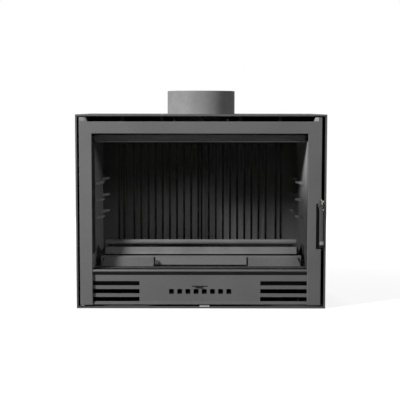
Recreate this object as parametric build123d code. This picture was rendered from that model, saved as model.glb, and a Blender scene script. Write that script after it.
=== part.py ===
from build123d import *
import math
import os

# Fireplace insert: a sheet-steel casing round a lined firebox, with one full-height
# cast door that carries the glass, the ledge and the air-inlet panel.
# Millimetres. X runs across (0 is the casing's middle), Z up from the floor.
# Depths count backwards from the casing's front plane; the origin is on the floor
# under the middle of the flue collar.

# Casing
CASING_WIDTH = 700.0
CASING_HEIGHT = 545.0
CASING_DEPTH = 440.0
CASING_SHEET = 2.0
RIM_WIDTH = 4.5            # folded front edge, seen from the front
RIM_DEPTH = 12.0
SEAM_FLANGE = 16.0         # inward folds where the sheets are joined
SEAM_FLANGE_SHEET = 1.5

# Flue collar
FLUE_DEPTH = 228.0         # collar axis behind the front plane
COLLAR_RADIUS = 100.0
COLLAR_WALL = 6.0
COLLAR_RISE = 68.0         # above the casing
COLLAR_FLANGE_WIDTH = 20.0
COLLAR_FLANGE_THICK = 6.0
COLLAR_SHOULDER = 1.5      # collar is this much stouter below its spigot
COLLAR_HOLE_GAP = 3.0      # free ring between collar and casing sheet
COLLAR_CHAMFER = 1.25
TRIM_RING_WIDTH = 8.0
TRIM_RING_THICK = 0.8
COLLAR_BOLTS = 4
COLLAR_BOLT_RADIUS = 4.0
COLLAR_BOLT_HEAD = 6.5     # across-corners radius
COLLAR_BOLT_HEAD_HEIGHT = 5.0

# Door casting
HINGE_MARGIN = 10.3        # casing's outside to door edge, hinge side
LATCH_MARGIN = 13.5
DOOR_TOP_MARGIN = 19.6
DOOR_FLOOR_GAP = 9.5
HINGE_STILE = 35.2
LATCH_STILE = 38.2
TOP_RAIL = 33.6
LEDGE_HEIGHT = 110.0       # top of the ledge under the glass
LEDGE_NOSE = 6.5
FACE_THICK = 7.0
FACE_EDGE_RADIUS = 1.6
WEB_THICK = 3.0
RETURN_WALL = 4.0
RETURN_DEPTH = 16.0
EAR_HEIGHT = 11.6
EAR_TOP_WIDTH = 19.0
EAR_BASE_WIDTH = 24.0
SEAL_PAD_IN = 10.0         # offsets of the seal pad from the glass opening
SEAL_PAD_OUT = 31.0
SEAL_PAD_BACK = 18.0
CHANNEL_IN = 18.0
CHANNEL_FLOOR = 12.0
ROPE_RADIUS = 5.0
ROPE_SIDES = 12
ROPE_CORNER = 12.0

# Door hinge
HINGE_INSET = 6.7          # pivot axis from the door's edge
HINGE_DEPTH = 8.0
HINGE_BOSS_RADIUS = 7.0
HINGE_PIN_RADIUS = 4.0
RUNNING_GAP = 0.05
UPPER_PIN_LENGTH = 16.0
LOWER_BOSS_HEIGHT = 36.0
LOWER_PIN_LENGTH = 28.0
BRACKET_THICK = 3.0
BRACKET_REACH = 26.0
BRACKET_LEG = 38.0
BRACKET_BACK = 40.0
EAR_GAP = 0.5

# Glass and its fixings
GLASS_THICK = 4.0
GLASS_LAP = 9.5
TAPE_THICK = 1.5
TAPE_WIDTH = 8.0
CLIP_SHEET = 1.5
CLIP_WIDTH = 18.0
CLIP_LAP = 3.0             # clip's inner end from the opening edge
CLIP_FOOT = 17.5
CLIP_SCREW_OFFSET = 14.0
SCREW_RADIUS = 2.0
SCREW_HEAD_RADIUS = 3.6
SCREW_HEAD = 2.0
SCREW_DEPTH = 8.0
SIDE_CLIP_SPACING = 230.0
RAIL_CLIP_SPACING = 360.0

# Air-inlet panel on the door, and its sliding register
PANEL_SHEET = 2.0
PANEL_LAP = 18.0           # hidden behind each stile
PANEL_TOP_GAP = 12.5       # panel's top edge below the ledge
PANEL_FLOOR_GAP = 13.0
PANEL_BEAD = 5.0
PANEL_BEAD_PROUD = 2.0
SLOT_ROWS = 3
SLOT_HEIGHT = 9.4
SLOT_PITCH = 22.6
SLOT_LENGTH = 138.0
SLOT_RUN_UNDER = 7.0       # slot continues behind the stile
SLOT_MID_HEIGHT = 49.4
PORT_COUNT = 8
PORT_SIZE = 12.4
PORT_CORNER = 3.5
PORT_PITCH = 23.1
PORT_HEIGHT = 48.2
REGISTER_SHEET = 1.5
REGISTER_MARGIN = 6.0
REGISTER_GAP = 0.3
REGISTER_ABOVE = 17.0      # plate's top edge above the ports' middle
REGISTER_BELOW = 11.0
GUIDE_WIDTH = 6.0
GUIDE_LIP = 2.5
TAB_SLOT_LENGTH = 46.0
TAB_SLOT_HEIGHT = 3.0
TAB_RISE = 14.0            # slot above the ports' middle
TAB_LENGTH = 22.0
TAB_THICK = 1.6
TAB_REACH = 6.0            # in front of the panel
TAB_OFFSET = 5.8           # rest place, left of the slot's middle
PANEL_SCREW_HEIGHTS = (26.0, 66.0)
PANEL_SCREW_INSET = 12.0

# Door handle and latch
HANDLE_HEIGHT = 292.0
HANDLE_INSET = 4.5         # pivot from the door's latch edge
HANDLE_SHAFT_RADIUS = 3.0
HANDLE_BOSS_RADIUS = 5.5
LEVER_EYE_RADIUS = 6.0
LEVER_STAND_OFF = 5.5      # door face to the lever's back
LEVER_THICK = 8.5
LEVER_TOP_WIDTH = 8.5
LEVER_LOW_WIDTH = 10.5
LEVER_SHIFT = 3.5          # grip hangs this far outside the pivot
LEVER_CHAMFER = 2.2
RECESS_SIDE = 14.5         # shallow pocket in the stile round the lever, from the door's edge
RECESS_ABOVE = 5.0         # its top over the pivot
RECESS_BELOW = 123.0       # its foot under the pivot
RECESS_SHARE = 0.7         # part of the face's thickness that it takes
FERRULE_TOP = 99.0         # below the pivot
FERRULE_HEIGHT = 11.0
FERRULE_RADIUS = 6.3
CAP_HEIGHT = 8.5
SHAFT_HEAD_RADIUS = 4.0
SHAFT_HEAD = 2.5
SHAFT_SOCKET_RADIUS = 2.2
HOOK_RADIUS = 14.5
HOOK_BAR = 3.8             # square bar
HOOK_TOP_ANGLE = 86.0
HOOK_LOW_ANGLE = -52.0
HOOK_TAIL_BEND = 9.0
HOOK_TAIL = 12.0
HOOK_HUB_RADIUS = 5.0
HOOK_STAND_OFF = 1.2
STUD_RADIUS = 2.0
STUD_OFFSET = 8.9          # stud's axis from the handle's pivot
STUD_TIP_GAP = 1.0         # stud's tip to the lever's back
STUD_BASE_HEIGHT = 20.0
STUD_BASE_THICK = 6.0
NUT_RADIUS = 4.6
NUT_THICK = 3.2

# Firebox shell
SEAL_GAP = 0.3             # rope to the front frame
PLATE = 4.0
SILL_STEP = 1.0            # firebox sill above the ledge
FRAME_SKIRT = 51.0         # front frame below the sill
FRAME_SIDE_CLEAR = 3.5
FRAME_TOP_CLEAR = 4.0
FRAME_LIP = 2.0            # front frame outside the seal pad
TIE_HEIGHTS = (170.0, 410.0)
TIE_WIDTH = 24.0
TIE_SHEET = 2.5
TIE_LENGTH = 20.0
LINER_THICK = 10.0
LINER_GAP = 3.0
LINER_FACE_DEPTH = 335.0   # rear liner's flat face
REAR_LINER_THICK = 12.0
OUTLET_GAP = 24.0          # air space over the firebox roof
FIT_GAP = 0.3

# Linings
RIB_COUNT = 19
RIB_PITCH = 22.2
RIB_WIDTH = 7.5
RIB_HEIGHT = 4.5
RIB_TIP = 6.5
EDGE_RIBS = (230.9, 246.5)
RIB_FOOT_GAP = 10.0        # above the hearth
LUG_RISES = (110.0, 160.0, 210.0)   # above the hearth
LUG_DEPTHS = (130.0, 306.0)
LUG_REACH = 23.0
LUG_WIDTH = 15.0
LUG_EDGE = 4.0
LUG_ROOT = 11.0
NOTCH_FRONT = 127.0
NOTCH_BACK = 270.0
NOTCH_APEX = 160.0
NOTCH_RISE = 26.0          # above the hearth

# Hearth, grate and log retainer
HEARTH_RISE = 29.0         # above the firebox sill
HEARTH_THICK = 7.0
HEARTH_SIDE_GAP = 11.3     # hearth to the right lining
HEARTH_END_GAP = 1.0       # hearth to the rear lining
APRON_SLANT = 12.0         # its top edge is this much shorter at each end
APRON_DEPTH = 58.0
APRON_THICK = 6.0
APRON_DROP = 2.0           # apron's top edge below the hearth
HEARTH_SKIRT = 5.0
GRATE_WIDTH = 224.0
GRATE_LENGTH = 184.0
GRATE_FRONT = 112.0
GRATE_LEDGE = 5.0
GRATE_LEDGE_THICK = 2.5
GRATE_BARS = 12
GRATE_SLOT_WIDTH = 9.0
GRATE_RAIL = 12.0          # width of the two rails that join the bars
RETAINER_DEPTH = 78.0
RETAINER_INSET = 12.0      # ends of the retainer from the hearth's sides
SLAT_HEIGHT = 24.0
SLAT_THICK = 5.0
SLAT_GAP = 3.5             # under the slat, for ash to be raked out
SLAT_BEAD_RADIUS = 2.0
BAR_RADIUS = 7.0
BAR_RISE = 38.6            # bar's axis above the hearth
POST_WIDTH = 10.0
POST_INSET = 16.0
POST_DEPTH = 16.0
POST_FOOT = 24.0
POST_FOOT_THICK = 4.0

# Ash pan
PAN_OVERHANG = 19.0        # pan wider than the grate, each side
PAN_SHEET = 1.5
PAN_HEIGHT = 19.0
PAN_LIFT = 0.4
PAN_TUNNEL_GAP = 4.0
PAN_END_GAP = 10.0         # pan to the rear lining
PAN_FRONT_LAP = 3.0
PAN_FRONT_THICK = 5.0
PAN_FRONT_CORNER = 3.0
PAN_FRONT_GAP = 2.0        # front plate drawn in from the pan's own outline
PULL_WIDTH = 11.0
PULL_HEIGHT = 15.0
PULL_REACH = 7.0
PULL_SHEET = 2.0

# Baffle over the fire
BAFFLE_THICK = 12.0
SMOKE_SPACE = 33.3         # between baffle and firebox roof
BAFFLE_FRONT = 97.0
DEFLECTOR_SHEET = 3.0
DEFLECTOR_RISE = 4.3       # above the baffle
DEFLECTOR_DROP = 4.7       # below the baffle
DEFLECTOR_BEAD_RADIUS = 2.5
DEFLECTOR_LAP = 22.0

# Air box, supports and small steel parts
AIR_BOX_LAP = 31.0         # air box beyond the pan's front plate
AIR_BOX_BACK = 150.0
AIR_BOX_FLOOR = 28.0
AIR_BOX_SHEET = 2.0
AIR_MOUTH_HALF = 105.0
AIR_MOUTH_LOW = 36.0
AIR_HOLE_RADIUS = 6.0
AIR_HOLE_COUNT = 3
AIR_HOLE_PITCH = 28.0
RAIL_INSET = 88.0          # rail's middle from the casing's outside
RAIL_WIDTH = 40.0
RAIL_SHEET = 3.0
RAIL_FRONT = 60.0
RAIL_BACK_INSET = 24.0     # rail's end from the firebox's back
SPACER_INSET = 150.0
SPACER_WIDTH = 30.0
SPACER_HEIGHT = 24.0
SPACER_DROP = 15.0         # strap's top below the firebox roof
GRILLE_SIDE_GAP = 28.0     # grille's end to the casing's sheet
GRILLE_SHEET = 1.5
GRILLE_BRIDGES = 5
GRILLE_PITCH = 110.3
GRILLE_BRIDGE_WIDTH = 10.0
GRILLE_BORDER = 4.0
SILL_TAB_X = 10.0
SILL_TAB_WIDTH = 28.0
SILL_TAB_RISE = 3.5

# Places that follow from the sizes above
HALF_WIDTH = CASING_WIDTH / 2
SIDE_INNER = HALF_WIDTH - CASING_SHEET
RIM_INNER = HALF_WIDTH - RIM_WIDTH
BACK_INNER = CASING_DEPTH - CASING_SHEET
TOP_INNER = CASING_HEIGHT - CASING_SHEET
DOOR_X = (HINGE_MARGIN - HALF_WIDTH, HALF_WIDTH - LATCH_MARGIN)
DOOR_TOP = CASING_HEIGHT - DOOR_TOP_MARGIN
EAR_TOP = DOOR_TOP + EAR_HEIGHT
OPENING_X = (DOOR_X[0] + HINGE_STILE, DOOR_X[1] - LATCH_STILE)
OPENING_Z = (LEDGE_HEIGHT, DOOR_TOP - TOP_RAIL)
OPENING_MID = sum(OPENING_X) / 2
CHANNEL_OUT = CHANNEL_IN + 2 * ROPE_RADIUS
ROPE_OFFSET = CHANNEL_IN + ROPE_RADIUS
PANEL_BACK = FACE_THICK + PANEL_SHEET
PANEL_Z = (PANEL_FLOOR_GAP, LEDGE_HEIGHT - PANEL_TOP_GAP)
HINGE_X = DOOR_X[0] + HINGE_INSET
HANDLE_X = DOOR_X[1] - HANDLE_INSET
HANDLE_BOSS_BACK = SEAL_PAD_BACK
SILL = LEDGE_HEIGHT + SILL_STEP
HEARTH_TOP = SILL + HEARTH_RISE
FRAME_FRONT = CHANNEL_FLOOR + 2 * ROPE_RADIUS + SEAL_GAP
FRAME_BACK = FRAME_FRONT + PLATE
FRAME_X = (OPENING_X[0] - SEAL_PAD_OUT - FRAME_LIP, OPENING_X[1] + SEAL_PAD_OUT + FRAME_LIP)
ROOF_TOP = TOP_INNER - OUTLET_GAP
ROOF_LOW = ROOF_TOP - PLATE
LINER_TOP = ROOF_LOW - SMOKE_SPACE - BAFFLE_THICK
LINER_OUT = LINER_THICK + LINER_GAP
FIREBOX_X = (OPENING_X[0] - LINER_OUT - PLATE, OPENING_X[1] + LINER_OUT + PLATE)
WALL_BACK = LINER_FACE_DEPTH + REAR_LINER_THICK + LINER_GAP
FIREBOX_BACK = WALL_BACK + PLATE
LINER_FRONT = FRAME_BACK + 2 * FIT_GAP
HEARTH_LOW = HEARTH_TOP - HEARTH_THICK
APRON_TOP = HEARTH_TOP - APRON_DROP
HEARTH_BACK = LINER_FACE_DEPTH - HEARTH_END_GAP
HEARTH_HALF_WIDTH = OPENING_X[1] - HEARTH_SIDE_GAP
RETAINER_HALF = HEARTH_HALF_WIDTH - RETAINER_INSET
PAN_HALF_WIDTH = GRATE_WIDTH / 2 + PAN_OVERHANG
PAN_FRONT_HALF = PAN_HALF_WIDTH + PAN_FRONT_LAP
AIR_BOX_HALF = PAN_FRONT_HALF + AIR_BOX_LAP
GRILLE_HALF = SIDE_INNER - GRILLE_SIDE_GAP
REGISTER_FRONT = PANEL_BACK + REGISTER_GAP
TAB_HEIGHT = PORT_HEIGHT + TAB_RISE


def slab(x, d, z):
    """Block between (low, high) pairs: across, depth behind the front plane, height."""
    size = [pair[1] - pair[0] for pair in (x, d, z)]
    middle = [(pair[0] + pair[1]) / 2 for pair in (x, d, z)]
    return Pos(middle[0], middle[1] - FLUE_DEPTH, middle[2]) * Box(*size)


def around(centre, width):
    return (centre - width / 2, centre + width / 2)


def grow(pair, amount):
    return (pair[0] - amount, pair[1] + amount)


def upright(sketch, d):
    """Plate of an X-Z sketch, filling the depths in d."""
    back = Plane(origin=(0, d[1] - FLUE_DEPTH, 0), x_dir=(1, 0, 0), z_dir=(0, -1, 0))
    return extrude(back * sketch, amount=d[1] - d[0])


def patch(x, z, corner=0.0):
    """Rectangle sketch between (low, high) pairs, with rounded corners if asked."""
    width, height = x[1] - x[0], z[1] - z[0]
    shape = RectangleRounded(width, height, corner) if corner else Rectangle(width, height)
    return Pos(sum(x) / 2, sum(z) / 2) * shape


def pin_back(x, z, radius, d):
    """Round bar along the depth."""
    return upright(Pos(x, z) * Circle(radius), d)


def pin_up(x, d, radius, z):
    """Round bar standing up."""
    length = z[1] - z[0]
    return Pos(x, d - FLUE_DEPTH, z[0] + length / 2) * Cylinder(radius, length)


def pin_across(x, d, z, radius):
    """Round bar lying across."""
    middle = Pos(sum(x) / 2, d - FLUE_DEPTH, z)
    return middle * Rot(0, 90, 0) * Cylinder(radius, x[1] - x[0])


def group(pieces):
    """Separate solids kept together in one node."""
    return Part() + list(pieces)


def mirrored(shape, middle=0.0):
    return mirror(shape, about=Plane.YZ.offset(middle))


def opening_ring(offset, corner=0.0):
    """Rectangle round the glass opening, this far outside it."""
    return patch(grow(OPENING_X, offset), grow(OPENING_Z, offset), corner)


# Casing -----------------------------------------------------------------------

def casing_left_side():
    """Side sheet with its folded front rim and three joining folds."""
    outer = -HALF_WIDTH
    z = (CASING_SHEET, TOP_INNER)
    fold_x = (-SIDE_INNER, -SIDE_INNER + SEAM_FLANGE)
    side = slab((outer, -SIDE_INNER), (0, BACK_INNER), z)
    side += slab((outer, -RIM_INNER), (0, RIM_DEPTH), z)
    side += slab(fold_x, (BACK_INNER - SEAM_FLANGE_SHEET, BACK_INNER), z)
    fold_d = (FRAME_BACK + SEAM_FLANGE, BACK_INNER)
    side += slab(fold_x, fold_d, (TOP_INNER - SEAM_FLANGE_SHEET, TOP_INNER))
    side += slab(fold_x, fold_d, (CASING_SHEET, CASING_SHEET + SEAM_FLANGE_SHEET))
    return side


def casing_right_side():
    return mirrored(casing_left_side())


def casing_top():
    top = slab((-HALF_WIDTH, HALF_WIDTH), (0, CASING_DEPTH), (TOP_INNER, CASING_HEIGHT))
    top += slab((-RIM_INNER, RIM_INNER), (0, RIM_DEPTH), (CASING_HEIGHT - RIM_WIDTH, CASING_HEIGHT))
    hole = COLLAR_RADIUS + COLLAR_SHOULDER + COLLAR_HOLE_GAP
    return top - pin_up(0, FLUE_DEPTH, hole, (TOP_INNER - 1, CASING_HEIGHT + 1))


def casing_base():
    base = slab((-HALF_WIDTH, HALF_WIDTH), (0, CASING_DEPTH), (0, CASING_SHEET))
    return base + slab((-RIM_INNER, RIM_INNER), (0, RIM_DEPTH), (0, RIM_WIDTH))


def casing_back():
    return slab((-HALF_WIDTH, HALF_WIDTH), (BACK_INNER, CASING_DEPTH), (CASING_SHEET, TOP_INNER))


def convection_outlet_grille():
    """Slotted strip over the door, where the warmed room air comes out."""
    z = (ROOF_TOP, TOP_INNER)
    strip = patch((-GRILLE_HALF, GRILLE_HALF), z)
    gap_z = grow(z, -GRILLE_BORDER)
    limit = GRILLE_HALF - GRILLE_BORDER
    half_gap = (GRILLE_PITCH - GRILLE_BRIDGE_WIDTH) / 2
    for gap in range(GRILLE_BRIDGES + 1):
        middle = (gap - GRILLE_BRIDGES / 2) * GRILLE_PITCH
        edges = (middle - half_gap, middle + half_gap)
        strip -= patch((max(edges[0], -limit), min(edges[1], limit)), gap_z)
    return upright(strip, (FRAME_FRONT, FRAME_FRONT + GRILLE_SHEET))


def sill_tab():
    """Small clip over the bottom rim, below the door's middle."""
    x = around(SILL_TAB_X, SILL_TAB_WIDTH)
    back = RIM_DEPTH + PANEL_SHEET
    tab = slab(x, (RIM_DEPTH, back), (CASING_SHEET, RIM_WIDTH + SILL_TAB_RISE))
    return tab + slab(x, (PANEL_SHEET, back), (RIM_WIDTH, RIM_WIDTH + SILL_TAB_RISE))


# Flue -------------------------------------------------------------------------

def collar_bolt_places():
    ring = COLLAR_RADIUS + COLLAR_FLANGE_WIDTH / 2
    return [Pos(*(Vector(ring, 0, 0).rotate(Axis.Z, 360 * (k + 0.5) / COLLAR_BOLTS)))
            for k in range(COLLAR_BOLTS)]


def flue_collar():
    """Cast spigot with a bolting flange on the firebox roof and a chamfered mouth."""
    inner = COLLAR_RADIUS - COLLAR_WALL
    stout = COLLAR_RADIUS + COLLAR_SHOULDER
    top = CASING_HEIGHT + COLLAR_RISE
    flange = COLLAR_RADIUS + COLLAR_FLANGE_WIDTH
    flange_top = ROOF_TOP + COLLAR_FLANGE_THICK
    spigot_foot = CASING_HEIGHT + TRIM_RING_THICK
    profile = Polyline((inner, ROOF_TOP), (flange, ROOF_TOP), (flange, flange_top), (stout, flange_top),
                       (stout, spigot_foot), (COLLAR_RADIUS, spigot_foot),
                       (COLLAR_RADIUS, top - COLLAR_CHAMFER), (COLLAR_RADIUS - COLLAR_CHAMFER, top),
                       (inner, top), close=True)
    collar = revolve(Plane.XZ * make_face(profile), Axis.Z)
    for place in collar_bolt_places():
        collar -= place * pin_up(0, FLUE_DEPTH, COLLAR_BOLT_RADIUS, (ROOF_TOP - 1, flange_top + 1))
    return collar


def collar_bolts():
    shoulder = ROOF_TOP + COLLAR_FLANGE_THICK
    head = extrude(RegularPolygon(COLLAR_BOLT_HEAD, 6), COLLAR_BOLT_HEAD_HEIGHT)
    shank_length = shoulder - ROOF_LOW + PLATE
    bolt = Pos(0, 0, shoulder) * head + pin_up(0, FLUE_DEPTH, COLLAR_BOLT_RADIUS,
                                               (shoulder - shank_length, shoulder))
    return group(place * bolt for place in collar_bolt_places())


def collar_trim_ring():
    z = (CASING_HEIGHT, CASING_HEIGHT + TRIM_RING_THICK)
    ring = pin_up(0, FLUE_DEPTH, COLLAR_RADIUS + TRIM_RING_WIDTH, z)
    ring = chamfer(ring.edges().group_by(Axis.Z)[-1], TRIM_RING_THICK / 2)
    return ring - pin_up(0, FLUE_DEPTH, COLLAR_RADIUS + COLLAR_SHOULDER + FIT_GAP, grow(z, 1))


# Firebox shell ----------------------------------------------------------------

def firebox_front_frame():
    """Flat plate round the mouth, which the door's rope seal closes on."""
    plate = patch(FRAME_X, (SILL - FRAME_SKIRT, ROOF_TOP))
    mouth = patch(grow(OPENING_X, FRAME_SIDE_CLEAR), (SILL, OPENING_Z[1] + FRAME_TOP_CLEAR))
    return upright(plate - mouth, (FRAME_FRONT, FRAME_BACK))


def frame_side_ties():
    """Four bent straps that hold the front frame's edges to the casing's sides."""
    back = (FRAME_BACK, FRAME_BACK + TIE_SHEET)
    pieces = []
    for side, edge in ((-1, FRAME_X[0]), (1, FRAME_X[1])):
        for height in TIE_HEIGHTS:
            z = around(height, TIE_WIDTH)
            strap_x = sorted((edge - side * TIE_LENGTH / 2, side * SIDE_INNER))
            leg_x = sorted((side * SIDE_INNER, side * (SIDE_INNER - TIE_SHEET)))
            strap = slab(tuple(strap_x), back, z)
            pieces.append(strap + slab(tuple(leg_x), (FRAME_BACK, FRAME_BACK + TIE_LENGTH), z))
    return group(pieces)


def firebox_side_wall(side):
    outer = FIREBOX_X[0] if side < 0 else FIREBOX_X[1]
    x = (outer, outer + PLATE) if side < 0 else (outer - PLATE, outer)
    return slab(x, (FRAME_BACK, WALL_BACK), (SILL, ROOF_LOW))


def firebox_back_wall():
    return slab(FIREBOX_X, (WALL_BACK, FIREBOX_BACK), (SILL, ROOF_LOW))


def firebox_roof():
    roof = slab(FIREBOX_X, (FRAME_BACK, FIREBOX_BACK), (ROOF_LOW, ROOF_TOP))
    z = grow((ROOF_LOW, ROOF_TOP), 1)
    roof -= pin_up(0, FLUE_DEPTH, COLLAR_RADIUS - COLLAR_WALL, z)
    for place in collar_bolt_places():
        roof -= place * pin_up(0, FLUE_DEPTH, COLLAR_BOLT_RADIUS, z)
    return roof


def air_hole_places():
    x = (PAN_FRONT_HALF + AIR_BOX_HALF) / 2
    first = (APRON_DEPTH + AIR_BOX_BACK) / 2 - AIR_HOLE_PITCH * (AIR_HOLE_COUNT - 1) / 2
    return [(side * x, first + k * AIR_HOLE_PITCH) for side in (-1, 1) for k in range(AIR_HOLE_COUNT)]


def firebox_base_plate():
    base = slab(FIREBOX_X, (FRAME_BACK, FIREBOX_BACK), (SILL - PLATE, SILL))
    for x, d in air_hole_places():
        base -= pin_up(x, d, AIR_HOLE_RADIUS, grow((SILL - PLATE, SILL), 1))
    return base


def primary_air_box():
    """Sheet trough under the firebox: air enters its mouth behind the register."""
    sheet = AIR_BOX_SHEET
    x = (-AIR_BOX_HALF, AIR_BOX_HALF)
    d = (FRAME_FRONT, AIR_BOX_BACK)
    skirt = SILL - FRAME_SKIRT
    top = SILL - PLATE
    box = slab(x, d, (AIR_BOX_FLOOR, top))
    box -= slab(grow(x, -sheet), grow(d, -sheet), (AIR_BOX_FLOOR + sheet, top + 1))
    box -= slab(grow(x, 1), (FRAME_FRONT - 1, FRAME_BACK), (skirt, top + 1))
    mouth_z = (AIR_MOUTH_LOW, skirt + 1)
    mouth_d = (FRAME_FRONT - 1, FRAME_FRONT + sheet + 1)
    return box - slab(around(OPENING_MID, 2 * AIR_MOUTH_HALF), mouth_d, mouth_z)


def support_rail(side):
    """Channel that carries the firebox above the casing's floor."""
    middle = HALF_WIDTH - RAIL_INSET
    d = (RAIL_FRONT, FIREBOX_BACK - RAIL_BACK_INSET)
    z = (CASING_SHEET, SILL - PLATE)
    rail = slab(around(side * middle, RAIL_WIDTH), d, z)
    web = middle + RAIL_WIDTH / 2 - RAIL_SHEET
    hollow_x = sorted((side * (middle - RAIL_WIDTH), side * web))
    return rail - slab(tuple(hollow_x), grow(d, 1), grow(z, -RAIL_SHEET))


def rear_spacers():
    """Two Z-shaped straps that hold the firebox off the casing's back."""
    pieces = []
    for side in (-1, 1):
        x = around(side * (HALF_WIDTH - SPACER_INSET), SPACER_WIDTH)
        top = ROOF_LOW - SPACER_DROP
        low = top - SPACER_HEIGHT
        strap = slab(x, (FIREBOX_BACK, FIREBOX_BACK + RAIL_SHEET), (low, top))
        strap += slab(x, (FIREBOX_BACK, BACK_INNER), (low, low + RAIL_SHEET))
        strap += slab(x, (BACK_INNER - RAIL_SHEET, BACK_INNER), (low - SPACER_HEIGHT, low + RAIL_SHEET))
        pieces.append(strap)
    return group(pieces)


# Linings ----------------------------------------------------------------------

def left_side_liner():
    """Cast lining plate with three pairs of grill lugs and an air notch at its foot."""
    x = (OPENING_X[0] - LINER_THICK, OPENING_X[0])
    liner = slab(x, (LINER_FRONT, LINER_FACE_DEPTH - FIT_GAP), (SILL, LINER_TOP))
    wedge = Polyline((0, 0), (LUG_REACH, 0), (LUG_REACH, -LUG_EDGE), (0, -LUG_ROOT), close=True)
    for rise in LUG_RISES:
        for depth in LUG_DEPTHS:
            lug = Pos(OPENING_X[0], HEARTH_TOP + rise) * make_face(wedge)
            liner += upright(lug, around(depth, LUG_WIDTH))
    notch_points = [(NOTCH_FRONT, SILL - 1), (NOTCH_BACK, SILL - 1), (NOTCH_BACK, SILL + HEARTH_THICK),
                    (NOTCH_APEX, HEARTH_TOP + NOTCH_RISE), (NOTCH_FRONT, SILL + HEARTH_THICK)]
    profile = Polyline(*[(d - FLUE_DEPTH, z) for d, z in notch_points], close=True)
    cutter = extrude(Plane.YZ.offset(x[0] - 1) * make_face(profile), LINER_THICK + 2)
    return liner - cutter


def right_side_liner():
    return mirrored(left_side_liner(), OPENING_MID)


def rib_places():
    inner = [(k - (RIB_COUNT - 1) / 2) * RIB_PITCH for k in range(RIB_COUNT)]
    return inner + [side * x for side in (-1, 1) for x in EDGE_RIBS]


def rear_liner():
    """Cast back plate with tapered upright ribs."""
    x = (OPENING_X[0] - LINER_THICK, OPENING_X[1] + LINER_THICK)
    liner = slab(x, (LINER_FACE_DEPTH, LINER_FACE_DEPTH + REAR_LINER_THICK), (SILL, LINER_TOP))
    root, tip = RIB_WIDTH / 2, RIB_TIP / 2
    outline = Polyline((-root, 0), (-tip, -RIB_HEIGHT), (tip, -RIB_HEIGHT), (root, 0), close=True)
    foot = HEARTH_TOP + RIB_FOOT_GAP
    rib = extrude(Pos(0, LINER_FACE_DEPTH - FLUE_DEPTH) * make_face(outline), LINER_TOP - foot)
    return liner + [Pos(OPENING_MID + place, 0, foot) * rib for place in rib_places()]


def baffle_plate():
    x = (OPENING_X[0] - LINER_THICK, OPENING_X[1] + LINER_THICK)
    baffle = slab(x, (BAFFLE_FRONT, WALL_BACK - FIT_GAP), (LINER_TOP, LINER_TOP + BAFFLE_THICK))
    return chamfer(baffle.edges().filter_by(Axis.X).group_by(Axis.Y)[0], 2)


def upper_deflector():
    """Bent strip on the baffle's front edge, with a rolled lower lip."""
    front = BAFFLE_FRONT - DEFLECTOR_SHEET
    seat = LINER_TOP + BAFFLE_THICK
    z = (LINER_TOP - DEFLECTOR_DROP, seat + DEFLECTOR_RISE)
    strip = slab(OPENING_X, (front, BAFFLE_FRONT), z)
    strip += slab(OPENING_X, (front, BAFFLE_FRONT + DEFLECTOR_LAP), (seat, z[1]))
    lip = pin_across(OPENING_X, front, z[0] + DEFLECTOR_BEAD_RADIUS, DEFLECTOR_BEAD_RADIUS)
    return strip + lip


# Hearth -----------------------------------------------------------------------

def hearth_plate():
    """Cast floor of the fire: a table on skirts, with the grate's seat and the ash tunnel."""
    table_x = (-HEARTH_HALF_WIDTH, HEARTH_HALF_WIDTH)
    back_of_apron = APRON_DEPTH + APRON_THICK
    d = (back_of_apron, HEARTH_BACK)
    hearth = slab(table_x, d, (HEARTH_LOW, HEARTH_TOP))
    grate_x = (-GRATE_WIDTH / 2, GRATE_WIDTH / 2)
    grate_d = (GRATE_FRONT, GRATE_FRONT + GRATE_LENGTH)
    hearth -= slab(grate_x, grate_d, (HEARTH_LOW + GRATE_LEDGE_THICK, HEARTH_TOP + 1))
    through = grow((HEARTH_LOW, HEARTH_TOP), 1)
    hearth -= slab(grow(grate_x, -GRATE_LEDGE), grow(grate_d, -GRATE_LEDGE), through)
    tunnel = PAN_HALF_WIDTH + PAN_TUNNEL_GAP
    for side in (-1, 1):
        for inner in (tunnel, HEARTH_HALF_WIDTH - HEARTH_SKIRT):
            wall_x = sorted((side * inner, side * (inner + HEARTH_SKIRT)))
            hearth += slab(tuple(wall_x), d, (SILL, HEARTH_LOW))
        slanted = side * (HEARTH_HALF_WIDTH - APRON_SLANT)
        apron = Polyline((side * tunnel, SILL), (side * HEARTH_HALF_WIDTH, SILL),
                         (slanted, APRON_TOP), (side * tunnel, APRON_TOP), close=True)
        hearth += upright(make_face(apron), (APRON_DEPTH, back_of_apron))
    return hearth


def grate_size():
    """Outer width and length of the grate, and its (low, high) heights in the hearth's seat."""
    height = (HEARTH_LOW + GRATE_LEDGE_THICK, HEARTH_TOP)
    return GRATE_WIDTH - 2 * FIT_GAP, GRATE_LENGTH - 2 * FIT_GAP, height


def grate_rails():
    """Front and back rails that lie on the hearth's ledge and join the fire bars."""
    width, length, height = grate_size()
    middle = GRATE_FRONT + GRATE_LENGTH / 2
    reach = (length - GRATE_RAIL) / 2
    return group(slab(around(0, width), around(middle + side * reach, GRATE_RAIL), height)
                 for side in (-1, 1))


def grate_bars():
    """Fire bars between the rails, narrower at the foot so that ash doesn't jam."""
    width, length, height = grate_size()
    pitch = (width + GRATE_SLOT_WIDTH) / GRATE_BARS
    top = (pitch - GRATE_SLOT_WIDTH) / 2
    foot = top - 1.0
    section = make_face(Polyline((-foot, height[0]), (foot, height[0]), (top, height[1]),
                                 (-top, height[1]), close=True))
    middle = GRATE_FRONT + GRATE_LENGTH / 2
    bar = upright(section, around(middle, length - 2 * GRATE_RAIL))
    return group(Pos((k - (GRATE_BARS - 1) / 2) * pitch, 0, 0) * bar for k in range(GRATE_BARS))


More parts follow.
